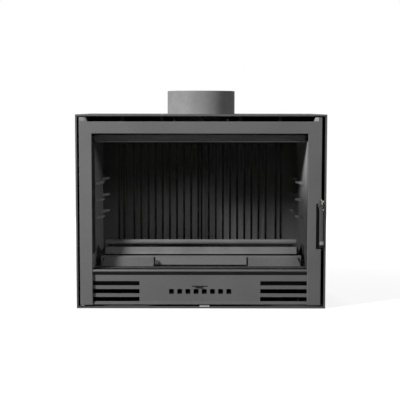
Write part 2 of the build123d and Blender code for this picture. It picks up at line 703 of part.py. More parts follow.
def retainer_slat():
    """Flat lower bar of the log retainer with a half-round bead along its foot."""
    x = (-RETAINER_HALF, RETAINER_HALF)
    d = (RETAINER_DEPTH, RETAINER_DEPTH + SLAT_THICK)
    foot = HEARTH_TOP + SLAT_GAP
    slat = slab(x, d, (foot, HEARTH_TOP + SLAT_HEIGHT))
    return slat + pin_across(x, RETAINER_DEPTH, foot + SLAT_BEAD_RADIUS, SLAT_BEAD_RADIUS)


def bar_stock():
    x = (-RETAINER_HALF, RETAINER_HALF)
    return pin_across(x, RETAINER_DEPTH + BAR_RADIUS, HEARTH_TOP + BAR_RISE, BAR_RADIUS)


def retainer_bar():
    """Round upper bar of the log retainer."""
    bar = bar_stock()
    return chamfer(bar.edges().filter_by(GeomType.CIRCLE), 1.0)


def retainer_posts():
    """Two feet behind the slat that carry the round bar in open cradles."""
    front = RETAINER_DEPTH + SLAT_THICK
    pieces = []
    for side in (-1, 1):
        middle = side * (RETAINER_HALF - POST_INSET)
        x = around(middle, POST_WIDTH)
        post = slab(x, (front, front + POST_DEPTH), (HEARTH_TOP, HEARTH_TOP + BAR_RISE))
        foot_x = around(middle, POST_FOOT)
        post += slab(foot_x, (front, front + POST_FOOT), (HEARTH_TOP, HEARTH_TOP + POST_FOOT_THICK))
        pieces.append(post)
    bar = bar_stock()
    return group(piece - bar for piece in pieces)


# Ash pan ----------------------------------------------------------------------

def pan_extents():
    """(low, high) pairs of the ash pan's tray: across, depth and height."""
    low = SILL + PAN_LIFT
    d = (APRON_DEPTH + PAN_FRONT_THICK, LINER_FACE_DEPTH - PAN_END_GAP)
    return (-PAN_HALF_WIDTH, PAN_HALF_WIDTH), d, (low, low + PAN_HEIGHT)


def ash_pan_tray():
    """Floor sheet of the tray that catches the ash under the grate."""
    x, d, z = pan_extents()
    return slab(x, d, (z[0], z[0] + PAN_SHEET))


def ash_pan_walls():
    """Four strips welded round the tray's floor."""
    x, d, z = pan_extents()
    wall_z = (z[0] + PAN_SHEET, z[1])
    left = slab((x[0], x[0] + PAN_SHEET), d, wall_z)
    right = slab((x[1] - PAN_SHEET, x[1]), d, wall_z)
    between = grow(x, -PAN_SHEET)
    front = slab(between, (d[0], d[0] + PAN_SHEET), wall_z)
    back = slab(between, (d[1] - PAN_SHEET, d[1]), wall_z)
    return group([left, right, front, back])


def ash_pan_front():
    """Front plate between the two halves of the hearth's apron."""
    half = PAN_FRONT_HALF - PAN_FRONT_GAP
    plate = patch((-half, half), (SILL + PAN_LIFT + PAN_FRONT_GAP, APRON_TOP))
    plate = fillet(plate.vertices().group_by(Axis.Y)[0], PAN_FRONT_CORNER)
    return upright(plate, (APRON_DEPTH, APRON_DEPTH + PAN_FRONT_THICK))


def ash_pan_pull():
    """Small curled finger pull at the left end of the pan's front."""
    x = -PAN_FRONT_HALF + PULL_SHEET
    foot = SILL + PAN_LIFT + PULL_SHEET
    mid_d = APRON_DEPTH - FLUE_DEPTH
    head = foot + PULL_HEIGHT
    flat = Line((mid_d, foot), (mid_d, head))
    curl = ThreePointArc((mid_d, head), (mid_d - PULL_REACH, foot + PULL_HEIGHT / 2), (mid_d, foot))
    outside = make_face(flat + curl)
    inside = offset(outside, -PULL_SHEET)
    return extrude(Plane.YZ.offset(x) * (outside - inside), PULL_WIDTH)


# Door -------------------------------------------------------------------------

def door_outline():
    """Door's outside with an ear at each top corner."""
    outline = patch(DOOR_X, (DOOR_FLOOR_GAP, DOOR_TOP))
    for edge, inward in ((DOOR_X[0], 1), (DOOR_X[1], -1)):
        tip = edge + inward * EAR_TOP_WIDTH
        foot = edge + inward * EAR_BASE_WIDTH
        ear = Polyline((edge, DOOR_TOP - 1), (edge, EAR_TOP), (tip, EAR_TOP), (foot, DOOR_TOP),
                       (foot, DOOR_TOP - 1), close=True)
        outline += make_face(ear)
    return outline


def hinge_bosses():
    upper = pin_up(HINGE_X, HINGE_DEPTH, HINGE_BOSS_RADIUS, (EAR_TOP - UPPER_PIN_LENGTH, EAR_TOP))
    low_z = (DOOR_FLOOR_GAP, DOOR_FLOOR_GAP + LOWER_BOSS_HEIGHT)
    return upper + pin_up(HINGE_X, HINGE_DEPTH, HINGE_BOSS_RADIUS, low_z)


def hinge_bores():
    radius = HINGE_PIN_RADIUS + RUNNING_GAP
    upper = pin_up(HINGE_X, HINGE_DEPTH, radius, (EAR_TOP - UPPER_PIN_LENGTH + 1, EAR_TOP + 1))
    low_z = (DOOR_FLOOR_GAP - 1, DOOR_FLOOR_GAP + LOWER_PIN_LENGTH + 1)
    return upper + pin_up(HINGE_X, HINGE_DEPTH, radius, low_z)


def seal_pad():
    """Raised ring on the door's back with the channel for the rope seal."""
    pad = opening_ring(SEAL_PAD_OUT, SEAL_PAD_OUT - CHANNEL_IN) - opening_ring(SEAL_PAD_IN)
    ring = upright(pad, (FACE_THICK, SEAL_PAD_BACK))
    outer = opening_ring(CHANNEL_OUT, ROPE_CORNER + ROPE_RADIUS)
    channel = outer - opening_ring(CHANNEL_IN, ROPE_CORNER - ROPE_RADIUS)
    return ring - upright(channel, (CHANNEL_FLOOR, SEAL_PAD_BACK + 1))


def bottom_rail():
    """Ledge under the glass: a rounded nose on a thin web, joined to the seal pad."""
    web_front = FACE_THICK - WEB_THICK
    low = PANEL_Z[1] + FIT_GAP
    lip_top = LEDGE_HEIGHT - SEAL_PAD_IN
    rail = slab(OPENING_X, (web_front, FACE_THICK), (low, LEDGE_HEIGHT))
    rail += slab(OPENING_X, (web_front, SEAL_PAD_BACK), (low, lip_top))
    nose = slab(OPENING_X, (0, FACE_THICK), (LEDGE_HEIGHT - LEDGE_NOSE, LEDGE_HEIGHT))
    nose = fillet(nose.edges().filter_by(Axis.X).group_by(Axis.Y)[0], LEDGE_NOSE / 2 - 0.3)
    return rail + nose


def handle_recess():
    """Pocket in the face of the right stile that the lever hangs in front of."""
    x = (DOOR_X[1] - RECESS_SIDE, DOOR_X[1] + 1)
    z = (HANDLE_HEIGHT - RECESS_BELOW, HANDLE_HEIGHT + RECESS_ABOVE)
    return slab(x, (-1, FACE_THICK * RECESS_SHARE), z)


def door_frame():
    """Cast portal: two full-height stiles, top rail, ledge, ears, bosses and seal pad."""
    portal = door_outline() - patch(OPENING_X, (DOOR_FLOOR_GAP - 1, OPENING_Z[1]))
    face = upright(portal, (0, FACE_THICK))
    face = fillet(face.edges().group_by(Axis.Y)[0], FACE_EDGE_RADIUS)
    back_d = (FACE_THICK, RETURN_DEPTH)
    full_z = (DOOR_FLOOR_GAP, DOOR_TOP)
    face += slab((DOOR_X[0], DOOR_X[0] + RETURN_WALL), back_d, full_z)
    face += slab((DOOR_X[1] - RETURN_WALL, DOOR_X[1]), back_d, full_z)
    face += slab(DOOR_X, back_d, (DOOR_TOP - RETURN_WALL / 2, DOOR_TOP))
    pocket_d = (FACE_THICK, PANEL_BACK)
    pad = seal_pad() - slab(grow(OPENING_X, PANEL_LAP + FIT_GAP), pocket_d, grow(PANEL_Z, FIT_GAP))
    frame = face + pad + bottom_rail() + hinge_bosses()
    frame += pin_back(HANDLE_X, HANDLE_HEIGHT, HANDLE_BOSS_RADIUS, (FACE_THICK / 2, HANDLE_BOSS_BACK))
    frame -= hinge_bores() + handle_recess()
    bore_d = grow((0, HANDLE_BOSS_BACK), 1)
    frame -= pin_back(HANDLE_X, HANDLE_HEIGHT, HANDLE_SHAFT_RADIUS + RUNNING_GAP, bore_d)
    for x, z in panel_screw_places():
        frame -= pin_back(x, z, SCREW_RADIUS, (PANEL_BACK - SCREW_DEPTH / 2, PANEL_BACK))
    for place in clip_places():
        frame -= place * clip_screw_hole()
    return frame


def door_glass():
    x = grow(OPENING_X, GLASS_LAP)
    d = (FACE_THICK + TAPE_THICK, FACE_THICK + TAPE_THICK + GLASS_THICK)
    return slab(x, d, grow(OPENING_Z, GLASS_LAP))


def glass_tape():
    """Flat ceramic tape between the frame and the glass."""
    ring = opening_ring(GLASS_LAP) - opening_ring(GLASS_LAP - TAPE_WIDTH)
    return upright(ring, (FACE_THICK, FACE_THICK + TAPE_THICK))


def clip_places():
    """Frames on the opening's edge: local x points away from the glass, z to the back."""
    y = -FLUE_DEPTH
    places = []
    for side in (-1, 1):
        for z in around(sum(OPENING_Z) / 2, SIDE_CLIP_SPACING):
            edge = OPENING_X[0] if side < 0 else OPENING_X[1]
            places.append(Plane(origin=(edge, y, z), x_dir=(side, 0, 0), z_dir=(0, 1, 0)).location)
        for x in around(OPENING_MID, RAIL_CLIP_SPACING):
            edge = OPENING_Z[0] if side < 0 else OPENING_Z[1]
            places.append(Plane(origin=(x, y, edge), x_dir=(0, 0, side), z_dir=(0, 1, 0)).location)
    return places


def clip_block(away, back):
    """Full-width block of a clip, between two distances from the glass edge and two depths."""
    return Pos(sum(away) / 2, 0, sum(back) / 2) * Box(away[1] - away[0], CLIP_WIDTH, back[1] - back[0])


def clip_screw_hole():
    depth = (SEAL_PAD_BACK + CLIP_SHEET - SCREW_DEPTH, SEAL_PAD_BACK + CLIP_SHEET)
    return Pos(CLIP_SCREW_OFFSET, 0, sum(depth) / 2) * Cylinder(SCREW_RADIUS, SCREW_DEPTH)


def glass_clips():
    """Bent clips, screwed to the seal pad, that press the glass to its tape."""
    glass_back = FACE_THICK + TAPE_THICK + GLASS_THICK
    top = SEAL_PAD_BACK + CLIP_SHEET
    riser = SEAL_PAD_IN - CLIP_SHEET
    clip = clip_block((riser, CLIP_FOOT), (SEAL_PAD_BACK, top))
    clip += clip_block((riser, SEAL_PAD_IN), (glass_back, top))
    clip += clip_block((CLIP_LAP, SEAL_PAD_IN), (glass_back, glass_back + CLIP_SHEET))
    clip -= clip_screw_hole()
    return group(place * clip for place in clip_places())


def glass_clip_screws():
    head = Pos(CLIP_SCREW_OFFSET, 0, SEAL_PAD_BACK + CLIP_SHEET) * RegularPolygon(SCREW_HEAD_RADIUS, 6)
    screw = extrude(head, SCREW_HEAD) + clip_screw_hole()
    return group(place * screw for place in clip_places())


def door_rope_seal():
    """Rope seal lying in the channel round the glass, its flats against the channel's walls."""
    depth = CHANNEL_FLOOR + ROPE_RADIUS
    plane = Plane(origin=(0, depth - FLUE_DEPTH, 0), x_dir=(1, 0, 0), z_dir=(0, -1, 0))
    path = (plane * opening_ring(ROPE_OFFSET, ROPE_CORNER)).wire()
    start = path.position_at(0)
    flats = RegularPolygon(ROPE_RADIUS, ROPE_SIDES, major_radius=False, rotation=180 / ROPE_SIDES)
    across = Plane(origin=start, x_dir=(0, 1, 0), z_dir=path.tangent_at(0))
    return sweep(across * flats, path=path)


def panel_screw_places():
    x_pair = grow(OPENING_X, PANEL_SCREW_INSET)
    return [(x, z) for x in x_pair for z in PANEL_SCREW_HEIGHTS]


def port_places(shift=0.0):
    return [OPENING_MID + shift + (k - (PORT_COUNT - 1) / 2) * PORT_PITCH for k in range(PORT_COUNT)]


def vent_panel():
    """Recessed sheet behind the stiles: side slots, air ports and the register's slot."""
    sheet = patch(grow(OPENING_X, PANEL_LAP), PANEL_Z)
    for row in range(SLOT_ROWS):
        z = around(SLOT_MID_HEIGHT + (row - (SLOT_ROWS - 1) / 2) * SLOT_PITCH, SLOT_HEIGHT)
        left = OPENING_X[0] - SLOT_RUN_UNDER
        right = OPENING_X[1] + SLOT_RUN_UNDER
        sheet -= patch((left, left + SLOT_LENGTH), z)
        sheet -= patch((right - SLOT_LENGTH, right), z)
    for x in port_places():
        sheet -= patch(around(x, PORT_SIZE), around(PORT_HEIGHT, PORT_SIZE), PORT_CORNER)
    slot_z = around(TAB_HEIGHT, TAB_SLOT_HEIGHT)
    sheet -= patch(around(OPENING_MID, TAB_SLOT_LENGTH), slot_z, TAB_SLOT_HEIGHT / 2 - 0.1)
    for x, z in panel_screw_places():
        sheet -= Pos(x, z) * Circle(SCREW_RADIUS)
    panel = upright(sheet, (FACE_THICK, PANEL_BACK))
    bead_d = (FACE_THICK - PANEL_BEAD_PROUD, FACE_THICK)
    bead = slab(grow(OPENING_X, -FIT_GAP), bead_d, (PANEL_Z[0], PANEL_Z[0] + PANEL_BEAD))
    return panel + fillet(bead.edges().filter_by(Axis.X).group_by(Axis.Y)[0], PANEL_BEAD_PROUD * 0.9)


def vent_panel_screws():
    pieces = []
    for x, z in panel_screw_places():
        shank = pin_back(x, z, SCREW_RADIUS, (PANEL_BACK - SCREW_DEPTH / 2, PANEL_BACK))
        head = Pos(x, z) * RegularPolygon(SCREW_HEAD_RADIUS, 6)
        pieces.append(shank + upright(head, (PANEL_BACK, PANEL_BACK + SCREW_HEAD)))
    return group(pieces)


def register_span():
    """Across and height extents of the register plate."""
    width = PORT_PITCH * (PORT_COUNT - 1) + PORT_SIZE + 2 * REGISTER_MARGIN
    height = (PORT_HEIGHT - REGISTER_BELOW, PORT_HEIGHT + REGISTER_ABOVE)
    return around(OPENING_MID, width), height


def register_guides():
    """Two angle strips on the panel's back that the register slides between."""
    x, z = register_span()
    x = grow(x, PORT_SIZE)
    lip_front = REGISTER_FRONT + REGISTER_SHEET + REGISTER_GAP
    lip_d = (lip_front, lip_front + REGISTER_SHEET)
    guides = []
    for edge, out in ((z[0] - REGISTER_GAP, -1), (z[1] + REGISTER_GAP, 1)):
        rim = edge + out * GUIDE_WIDTH
        strip = slab(x, (PANEL_BACK, lip_d[1]), tuple(sorted((edge, rim))))
        lip = slab(x, lip_d, tuple(sorted((edge - out * GUIDE_LIP, rim))))
        guides.append(strip + lip)
    return group(guides)


def air_register():
    """Sliding shutter with its finger tab through the panel."""
    x, z = register_span()
    shutter = patch(x, z)
    for place in port_places():
        shutter -= patch(around(place, PORT_SIZE), around(PORT_HEIGHT, PORT_SIZE), PORT_CORNER)
    plate = upright(shutter, (REGISTER_FRONT, REGISTER_FRONT + REGISTER_SHEET))
    tab_x = around(OPENING_MID - TAB_OFFSET, TAB_LENGTH)
    tab_z = around(TAB_HEIGHT, TAB_THICK)
    tab = patch(tab_x, (FACE_THICK - TAB_REACH, REGISTER_FRONT + REGISTER_SHEET))
    tab = fillet(tab.vertices().group_by(Axis.Y)[0], TAB_REACH / 2)
    blade = Pos(0, -FLUE_DEPTH, tab_z[0]) * extrude(tab, TAB_THICK)
    return plate + blade


# Handle -----------------------------------------------------------------------

def handle_lever():
    """Hanging grip with an eye round the shaft."""
    back = -LEVER_STAND_OFF
    front = back - LEVER_THICK
    middle = (front + back) / 2 - FLUE_DEPTH
    eye = pin_back(HANDLE_X, HANDLE_HEIGHT, LEVER_EYE_RADIUS, (front, back))
    eye = chamfer(eye.edges().group_by(Axis.Y)[0], 1.0)
    stations = ((LEVER_EYE_RADIUS / 2, 0.0, LEVER_TOP_WIDTH),
                (LEVER_TOP_WIDTH * 2, LEVER_SHIFT, LEVER_LOW_WIDTH),
                (FERRULE_TOP, LEVER_SHIFT, LEVER_LOW_WIDTH))
    sections = []
    for drop, shift, width in stations:
        place = Pos(HANDLE_X + shift, middle, HANDLE_HEIGHT - drop)
        bar = Rectangle(width, LEVER_THICK)
        sections.append(place * Rot(180, 0, 0) * chamfer(bar.vertices(), LEVER_CHAMFER))
    grip = loft(sections, ruled=True)
    bore = pin_back(HANDLE_X, HANDLE_HEIGHT, HANDLE_SHAFT_RADIUS, (front - 1, back + 1))
    head = pin_back(HANDLE_X, HANDLE_HEIGHT, SHAFT_HEAD_RADIUS, (front - 1, front + SHAFT_HEAD))
    return eye + grip - bore - head


def grip_turned(profile):
    """Turned piece on the grip's axis; the profile is radius against drop below the pivot."""
    axis_x = HANDLE_X + LEVER_SHIFT
    middle = -LEVER_STAND_OFF - LEVER_THICK / 2 - FLUE_DEPTH
    shape = revolve(Plane.XZ * make_face(profile), Axis.Z)
    return Pos(axis_x, middle, HANDLE_HEIGHT) * shape


def handle_ferrule():
    radius, top, low = FERRULE_RADIUS, -FERRULE_TOP, -FERRULE_TOP - FERRULE_HEIGHT
    profile = Polyline((0, top), (radius - 1, top), (radius, top - 1), (radius, low + 1),
                       (radius - 1, low), (0, low), close=True)
    return grip_turned(profile)


def handle_end_cap():
    radius = FERRULE_RADIUS - 1
    top = -FERRULE_TOP - FERRULE_HEIGHT
    low = top - CAP_HEIGHT
    taper = radius / 2
    profile = Polyline((0, top), (radius, top), (radius, low + taper), (radius - taper, low),
                       (0, low), close=True)
    return grip_turned(profile)


def handle_shaft():
    """Pivot screw through lever, hook and stile, with a socket in its head."""
    front = -LEVER_STAND_OFF - LEVER_THICK
    back = HANDLE_BOSS_BACK + NUT_THICK
    shaft = pin_back(HANDLE_X, HANDLE_HEIGHT, HANDLE_SHAFT_RADIUS, (front, back))
    shaft += pin_back(HANDLE_X, HANDLE_HEIGHT, SHAFT_HEAD_RADIUS, (front, front + SHAFT_HEAD))
    socket = Pos(HANDLE_X, HANDLE_HEIGHT) * RegularPolygon(SHAFT_SOCKET_RADIUS, 6)
    return shaft - upright(socket, (front, front + 2))


def handle_nut():
    nut = Pos(HANDLE_X, HANDLE_HEIGHT) * (RegularPolygon(NUT_RADIUS, 6) - Circle(HANDLE_SHAFT_RADIUS))
    start = HANDLE_BOSS_BACK + FIT_GAP
    return upright(nut, (start, HANDLE_BOSS_BACK + NUT_THICK))


def latch_hook():
    """Bright hook cut from bar: an arc round the pivot, closing over the casing's stud."""
    sweep_angle = HOOK_LOW_ANGLE - HOOK_TOP_ANGLE
    arc = CenterArc((0, 0), HOOK_RADIUS, HOOK_TOP_ANGLE, sweep_angle)
    bend_to = Vector(0, -1)
    low = math.radians(HOOK_LOW_ANGLE)
    heading = Vector(math.sin(low), -math.cos(low))
    turn = math.radians(heading.get_angle(bend_to))
    normal = Vector(-heading.Y, heading.X)
    centre = Vector(*(arc @ 1)) + normal * HOOK_TAIL_BEND
    first = math.degrees(math.atan2(-normal.Y, -normal.X))
    bend = CenterArc((centre.X, centre.Y), HOOK_TAIL_BEND, first, math.degrees(turn))
    tail = Line(bend @ 1, Vector(*(bend @ 1)) + bend_to * HOOK_TAIL)
    arm = Line((0, 0), arc @ 0)
    flat = Circle(HOOK_HUB_RADIUS) + [trace(line, HOOK_BAR) for line in (arm, arc, bend, tail)]
    d = (-HOOK_STAND_OFF - HOOK_BAR, -HOOK_STAND_OFF)
    hook = upright(Pos(HANDLE_X, HANDLE_HEIGHT) * flat, d)
    return hook - pin_back(HANDLE_X, HANDLE_HEIGHT, HANDLE_SHAFT_RADIUS, grow(d, 1))


def latch_keeper():
    """Stud on the front frame that stands in the gap beside the door."""
    x = HANDLE_X + STUD_OFFSET
    base_x = (x - STUD_RADIUS, SIDE_INNER)
    base_front = FRAME_FRONT - STUD_BASE_THICK
    base = slab(base_x, (base_front, FRAME_FRONT), around(HANDLE_HEIGHT, STUD_BASE_HEIGHT))
    tip = STUD_TIP_GAP - LEVER_STAND_OFF
    stud = pin_back(x, HANDLE_HEIGHT, STUD_RADIUS, (tip, base_front))
    stud = chamfer(stud.edges().group_by(Axis.Y)[0], 0.8)
    return base + stud


# Door hinges ------------------------------------------------------------------

def hinge_bracket(plate_z, leg_z):
    """Angle on the casing's side with a hole that holds the pin."""
    x_plate = (-SIDE_INNER, -SIDE_INNER + BRACKET_REACH)
    plate = slab(x_plate, (1, BRACKET_BACK), plate_z)
    plate -= slab((-SIDE_INNER - 1, -RIM_INNER), (0, RIM_DEPTH), grow(plate_z, 1))
    leg_d = (RIM_DEPTH + 1, FRAME_FRONT - FIT_GAP)
    plate -= slab(grow(x_plate, 1), (leg_d[1], BRACKET_BACK + 1), grow(plate_z, 1))
    leg = slab((-SIDE_INNER, -SIDE_INNER + BRACKET_THICK), leg_d, leg_z)
    hole = pin_up(HINGE_X, HINGE_DEPTH, HINGE_PIN_RADIUS, grow(plate_z, 1))
    return plate + leg - hole


def upper_hinge_bracket():
    low = EAR_TOP + EAR_GAP
    top = CASING_HEIGHT - RIM_WIDTH
    return hinge_bracket((low, top), (top - BRACKET_LEG, top))


def lower_hinge_bracket():
    z = (RIM_WIDTH, RIM_WIDTH + BRACKET_THICK)
    return hinge_bracket(z, (RIM_WIDTH, RIM_WIDTH + BRACKET_LEG))


def upper_hinge_pin():
    low = EAR_TOP - UPPER_PIN_LENGTH + 2
    return pin_up(HINGE_X, HINGE_DEPTH, HINGE_PIN_RADIUS, (low, CASING_HEIGHT - RIM_WIDTH))


def lower_hinge_pin():
    z = (RIM_WIDTH, DOOR_FLOOR_GAP + LOWER_PIN_LENGTH)
    return pin_up(HINGE_X, HINGE_DEPTH, HINGE_PIN_RADIUS, z)


def hinge_thrust_washer():
    z = (RIM_WIDTH + BRACKET_THICK, DOOR_FLOOR_GAP - FIT_GAP)
    washer = pin_up(HINGE_X, HINGE_DEPTH, HINGE_BOSS_RADIUS, z)
    return washer - pin_up(HINGE_X, HINGE_DEPTH, HINGE_PIN_RADIUS, grow(z, 1))


PIECES = {
    "casing_left_side": casing_left_side(),
    "casing_right_side": casing_right_side(),
    "casing_top": casing_top(),
    "casing_base": casing_base(),
    "casing_back": casing_back(),
    "convection_outlet_grille": convection_outlet_grille(),
    "sill_tab": sill_tab(),
    "flue_collar": flue_collar(),
    "collar_bolts": collar_bolts(),
    "collar_trim_ring": collar_trim_ring(),
    "firebox_front_frame": firebox_front_frame(),
    "frame_side_ties": frame_side_ties(),
    "firebox_left_wall": firebox_side_wall(-1),
    "firebox_right_wall": firebox_side_wall(1),
    "firebox_back_wall": firebox_back_wall(),
    "firebox_roof": firebox_roof(),
    "firebox_base_plate": firebox_base_plate(),
    "primary_air_box": primary_air_box(),
    "left_support_rail": support_rail(-1),
    "right_support_rail": support_rail(1),
    "rear_spacers": rear_spacers(),
    "left_side_liner": left_side_liner(),
    "right_side_liner": right_side_liner(),
    "rear_liner": rear_liner(),
    "baffle_plate": baffle_plate(),
    "upper_deflector": upper_deflector(),
    "hearth_plate": hearth_plate(),
    "grate_rails": grate_rails(),
    "grate_bars": grate_bars(),
    "retainer_slat": retainer_slat(),
    "retainer_bar": retainer_bar(),
    "retainer_posts": retainer_posts(),
    "ash_pan_tray": ash_pan_tray(),
    "ash_pan_walls": ash_pan_walls(),
    "ash_pan_front": ash_pan_front(),
    "ash_pan_pull": ash_pan_pull(),
    "door_frame": door_frame(),
    "door_glass": door_glass(),
    "glass_tape": glass_tape(),
    "glass_clips": glass_clips(),
    "glass_clip_screws": glass_clip_screws(),
    "door_rope_seal": door_rope_seal(),
    "vent_panel": vent_panel(),
    "vent_panel_screws": vent_panel_screws(),
    "register_guides": register_guides(),
    "air_register": air_register(),
    "handle_lever": handle_lever(),
    "handle_ferrule": handle_ferrule(),
    "handle_end_cap": handle_end_cap(),
    "handle_shaft": handle_shaft(),
    "handle_nut": handle_nut(),
    "latch_hook": latch_hook(),
    "latch_keeper": latch_keeper(),
    "upper_hinge_bracket": upper_hinge_bracket(),
    "lower_hinge_bracket": lower_hinge_bracket(),
    "upper_hinge_pin": upper_hinge_pin(),
    "lower_hinge_pin": lower_hinge_pin(),
    "hinge_thrust_washer": hinge_thrust_washer(),
}

os.makedirs("parts", exist_ok=True)
for name, piece in PIECES.items():
    export_step(piece, f"parts/{name}.step")
print(len(PIECES), "pieces written")
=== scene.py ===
# %% [markdown]
# # A fireplace insert
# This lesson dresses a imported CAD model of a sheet-steel and cast-iron fireplace
# insert. The CAD gives every rigid part its true size and place, in metres, with the
# floor at z = 0 and the front facing -Y. Here the camera, the studio, the paint and
# metal finishes, and the braided, woven, screwed, rounded and punched pieces are added.

# %% Load the frame
import math

import bmesh
import bpy
from mathutils import Matrix, Vector


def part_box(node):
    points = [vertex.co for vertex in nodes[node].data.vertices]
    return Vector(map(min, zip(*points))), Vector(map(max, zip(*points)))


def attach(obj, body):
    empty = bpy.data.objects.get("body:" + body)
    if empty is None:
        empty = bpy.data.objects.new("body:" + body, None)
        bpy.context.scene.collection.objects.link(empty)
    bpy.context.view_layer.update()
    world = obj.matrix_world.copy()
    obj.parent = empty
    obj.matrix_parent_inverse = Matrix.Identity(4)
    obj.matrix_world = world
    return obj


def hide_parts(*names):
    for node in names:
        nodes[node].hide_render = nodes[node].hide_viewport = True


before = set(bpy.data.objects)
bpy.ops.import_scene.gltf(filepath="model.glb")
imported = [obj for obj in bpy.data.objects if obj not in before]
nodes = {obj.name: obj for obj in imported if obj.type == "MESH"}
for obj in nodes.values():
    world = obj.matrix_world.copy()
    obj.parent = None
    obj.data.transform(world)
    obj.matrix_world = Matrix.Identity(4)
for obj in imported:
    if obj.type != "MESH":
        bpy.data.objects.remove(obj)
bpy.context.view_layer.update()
slot_of = {name: part.data.materials[0].name for name, part in nodes.items()}

# %% [markdown]
# ## Camera
# The picture was taken from nearly straight ahead, just above the insert, with a long
# lens, so the top shows as a thin line and the sides not at all. A perspective camera
# with a slight downward tilt gives that view. No lens shift is needed.

# %% Camera
CAMERA_PLACE = Vector((-0.003, -3.114, 0.563))
CAMERA_TILT = math.radians(5.07)
CAMERA_ROLL = 0.001                     # radians
FOCAL_LENGTH = 93.39
SENSOR_WIDTH = 36.0
DOOR_MIDDLE = Vector((0, -0.228, 0.27))

lens = bpy.data.cameras.new("camera")
lens.lens = FOCAL_LENGTH
lens.sensor_width = SENSOR_WIDTH
camera = bpy.data.objects.new("camera", lens)
camera.matrix_world = (Matrix.Translation(CAMERA_PLACE)
                       @ Matrix.Rotation(math.pi / 2 - CAMERA_TILT, 4, "X")
                       @ Matrix.Rotation(CAMERA_ROLL, 4, "Z"))
bpy.context.scene.collection.objects.link(camera)
bpy.context.scene.camera = camera
bpy.context.scene.view_settings.view_transform = "Standard"
print("camera", round((CAMERA_PLACE - DOOR_MIDDLE).length, 3), "m from the door")


# %% [markdown]
# ## Node trees as Python expressions
# Materials and Geometry Nodes are both graphs. A small class wraps an output socket, so
# that `1 - mask * 0.5` adds the Math nodes by itself, and one method makes every other
# kind of node. That keeps each finish down to a few readable lines.

# %% Wires
class Wire:
    """A number that varies, held as a node's output socket."""

    def __init__(self, tree, socket):
        self.tree = tree
        self.socket = socket

    def maths(self, operation, first, second):
        return self.tree.node("ShaderNodeMath", {"operation": operation}, {0: first, 1: second})

    def through(self, operation):
        """This number put through a Math node of one input, such as COSINE."""
        return self.tree.node("ShaderNodeMath", {"operation": operation}, {0: self})

    def __add__(self, other):
        return self.maths("ADD", self, other)

    def __sub__(self, other):
        return self.maths("SUBTRACT", self, other)

    def __rsub__(self, other):
        return self.maths("SUBTRACT", other, self)

    def __mul__(self, other):
        return self.maths("MULTIPLY", self, other)

    def __truediv__(self, other):
        return self.maths("DIVIDE", self, other)

    def __pow__(self, other):
        return self.maths("POWER", self, other)

    __radd__ = __add__
    __rmul__ = __mul__


# %% Trees
class Tree:
    """A node tree being wired, for a material or for geometry."""

    def __init__(self, tree):
        self.tree = tree

    def node(self, kind, settings=None, sockets=None, output=0):
        """Adds a node: its settings, then the values or wires of its sockets."""
        made = self.tree.nodes.new(kind)
        for name, value in (settings or {}).items():
            setattr(made, name, value)
        for name, value in (sockets or {}).items():
            if isinstance(value, Wire):
                self.tree.links.new(value.socket, made.inputs[name])
            else:
                made.inputs[name].default_value = value
        return Wire(self, made.outputs[output])


# %% [markdown]
# ## Studio
# The insert stands on a plain pale floor in front of white. The sky is dim for the
# object, so that corners stay dark, and white where the camera, a reflection or the
# glass looks at it. The floor does the same: it throws little light up, looks white, and
# still shows the insert's shadow. It glows a little less near the insert, so that the
# shadow has something to fade into.

# %% What looks at the studio
def looked_at(tree):
    """1 for rays that show a surface to the camera, straight or by a reflection."""
    ray = "ShaderNodeLightPath"
    seen = tree.node(ray, output="Is Camera Ray") + tree.node(ray, output="Is Glossy Ray")
    seen = seen + tree.node(ray, output="Is Transmission Ray")
    seen.socket.node.use_clamp = True
    return seen


# %% Floor
FLOOR_SIZE = 30.0
FLOOR_CELLS = 8
FLOOR_TONE = 0.35          # where the camera looks at it
FLOOR_BOUNCE = 0.03        # for light that goes on to the insert
FLOOR_ROUGHNESS = 0.9
NEAR_GLOW = 0.86
FAR_GLOW = 1.0
GLOW_RISE = (0.5, 1.5)     # distances from the origin between which it rises


def floor_paint():
    paint = bpy.data.materials.new("studio_white")
    paint.use_nodes = True
    tree = Tree(paint.node_tree)
    shader = paint.node_tree.nodes["Principled BSDF"]
    shader.inputs["Roughness"].default_value = FLOOR_ROUGHNESS
    shader.inputs["Specular IOR Level"].default_value = 0.0
    shader.inputs["Emission Strength"].default_value = 1.0
    place = tree.node("ShaderNodeTexCoord", output="Object")
    distance = tree.node("ShaderNodeVectorMath", {"operation": "LENGTH"}, {0: place},
                         output="Value")
    far = tree.node("ShaderNodeMapRange", {"interpolation_type": "SMOOTHSTEP"},
                    {"Value": distance, "From Min": GLOW_RISE[0], "From Max": GLOW_RISE[1]})
    glow = looked_at(tree) * (far * (FAR_GLOW - NEAR_GLOW) + NEAR_GLOW)
    tone = looked_at(tree) * (FLOOR_TONE - FLOOR_BOUNCE) + FLOOR_BOUNCE
    for label, value in (("Base Color", tone), ("Emission Color", glow)):
        shade = tree.node("ShaderNodeCombineColor", None,
                          {"Red": value, "Green": value, "Blue": value})
        paint.node_tree.links.new(shade.socket, shader.inputs[label])
    return paint


bpy.ops.mesh.primitive_grid_add(x_subdivisions=FLOOR_CELLS, y_subdivisions=FLOOR_CELLS,
                                size=FLOOR_SIZE)
floor = bpy.context.object
floor.name = "studio_floor"
floor.data.materials.append(floor_paint())
print("floor:", FLOOR_SIZE, "m square")

# %% Sky
SKY_LIGHT = 0.02


def studio_sky():
    world = bpy.data.worlds.new("studio_sky")
    world.use_nodes = True
    tree = Tree(world.node_tree)
    strength = looked_at(tree) * (1 - SKY_LIGHT) + SKY_LIGHT
    background = world.node_tree.nodes["Background"]
    background.inputs["Color"].default_value = (1, 1, 1, 1)
    world.node_tree.links.new(strength.socket, background.inputs["Strength"])
    return world


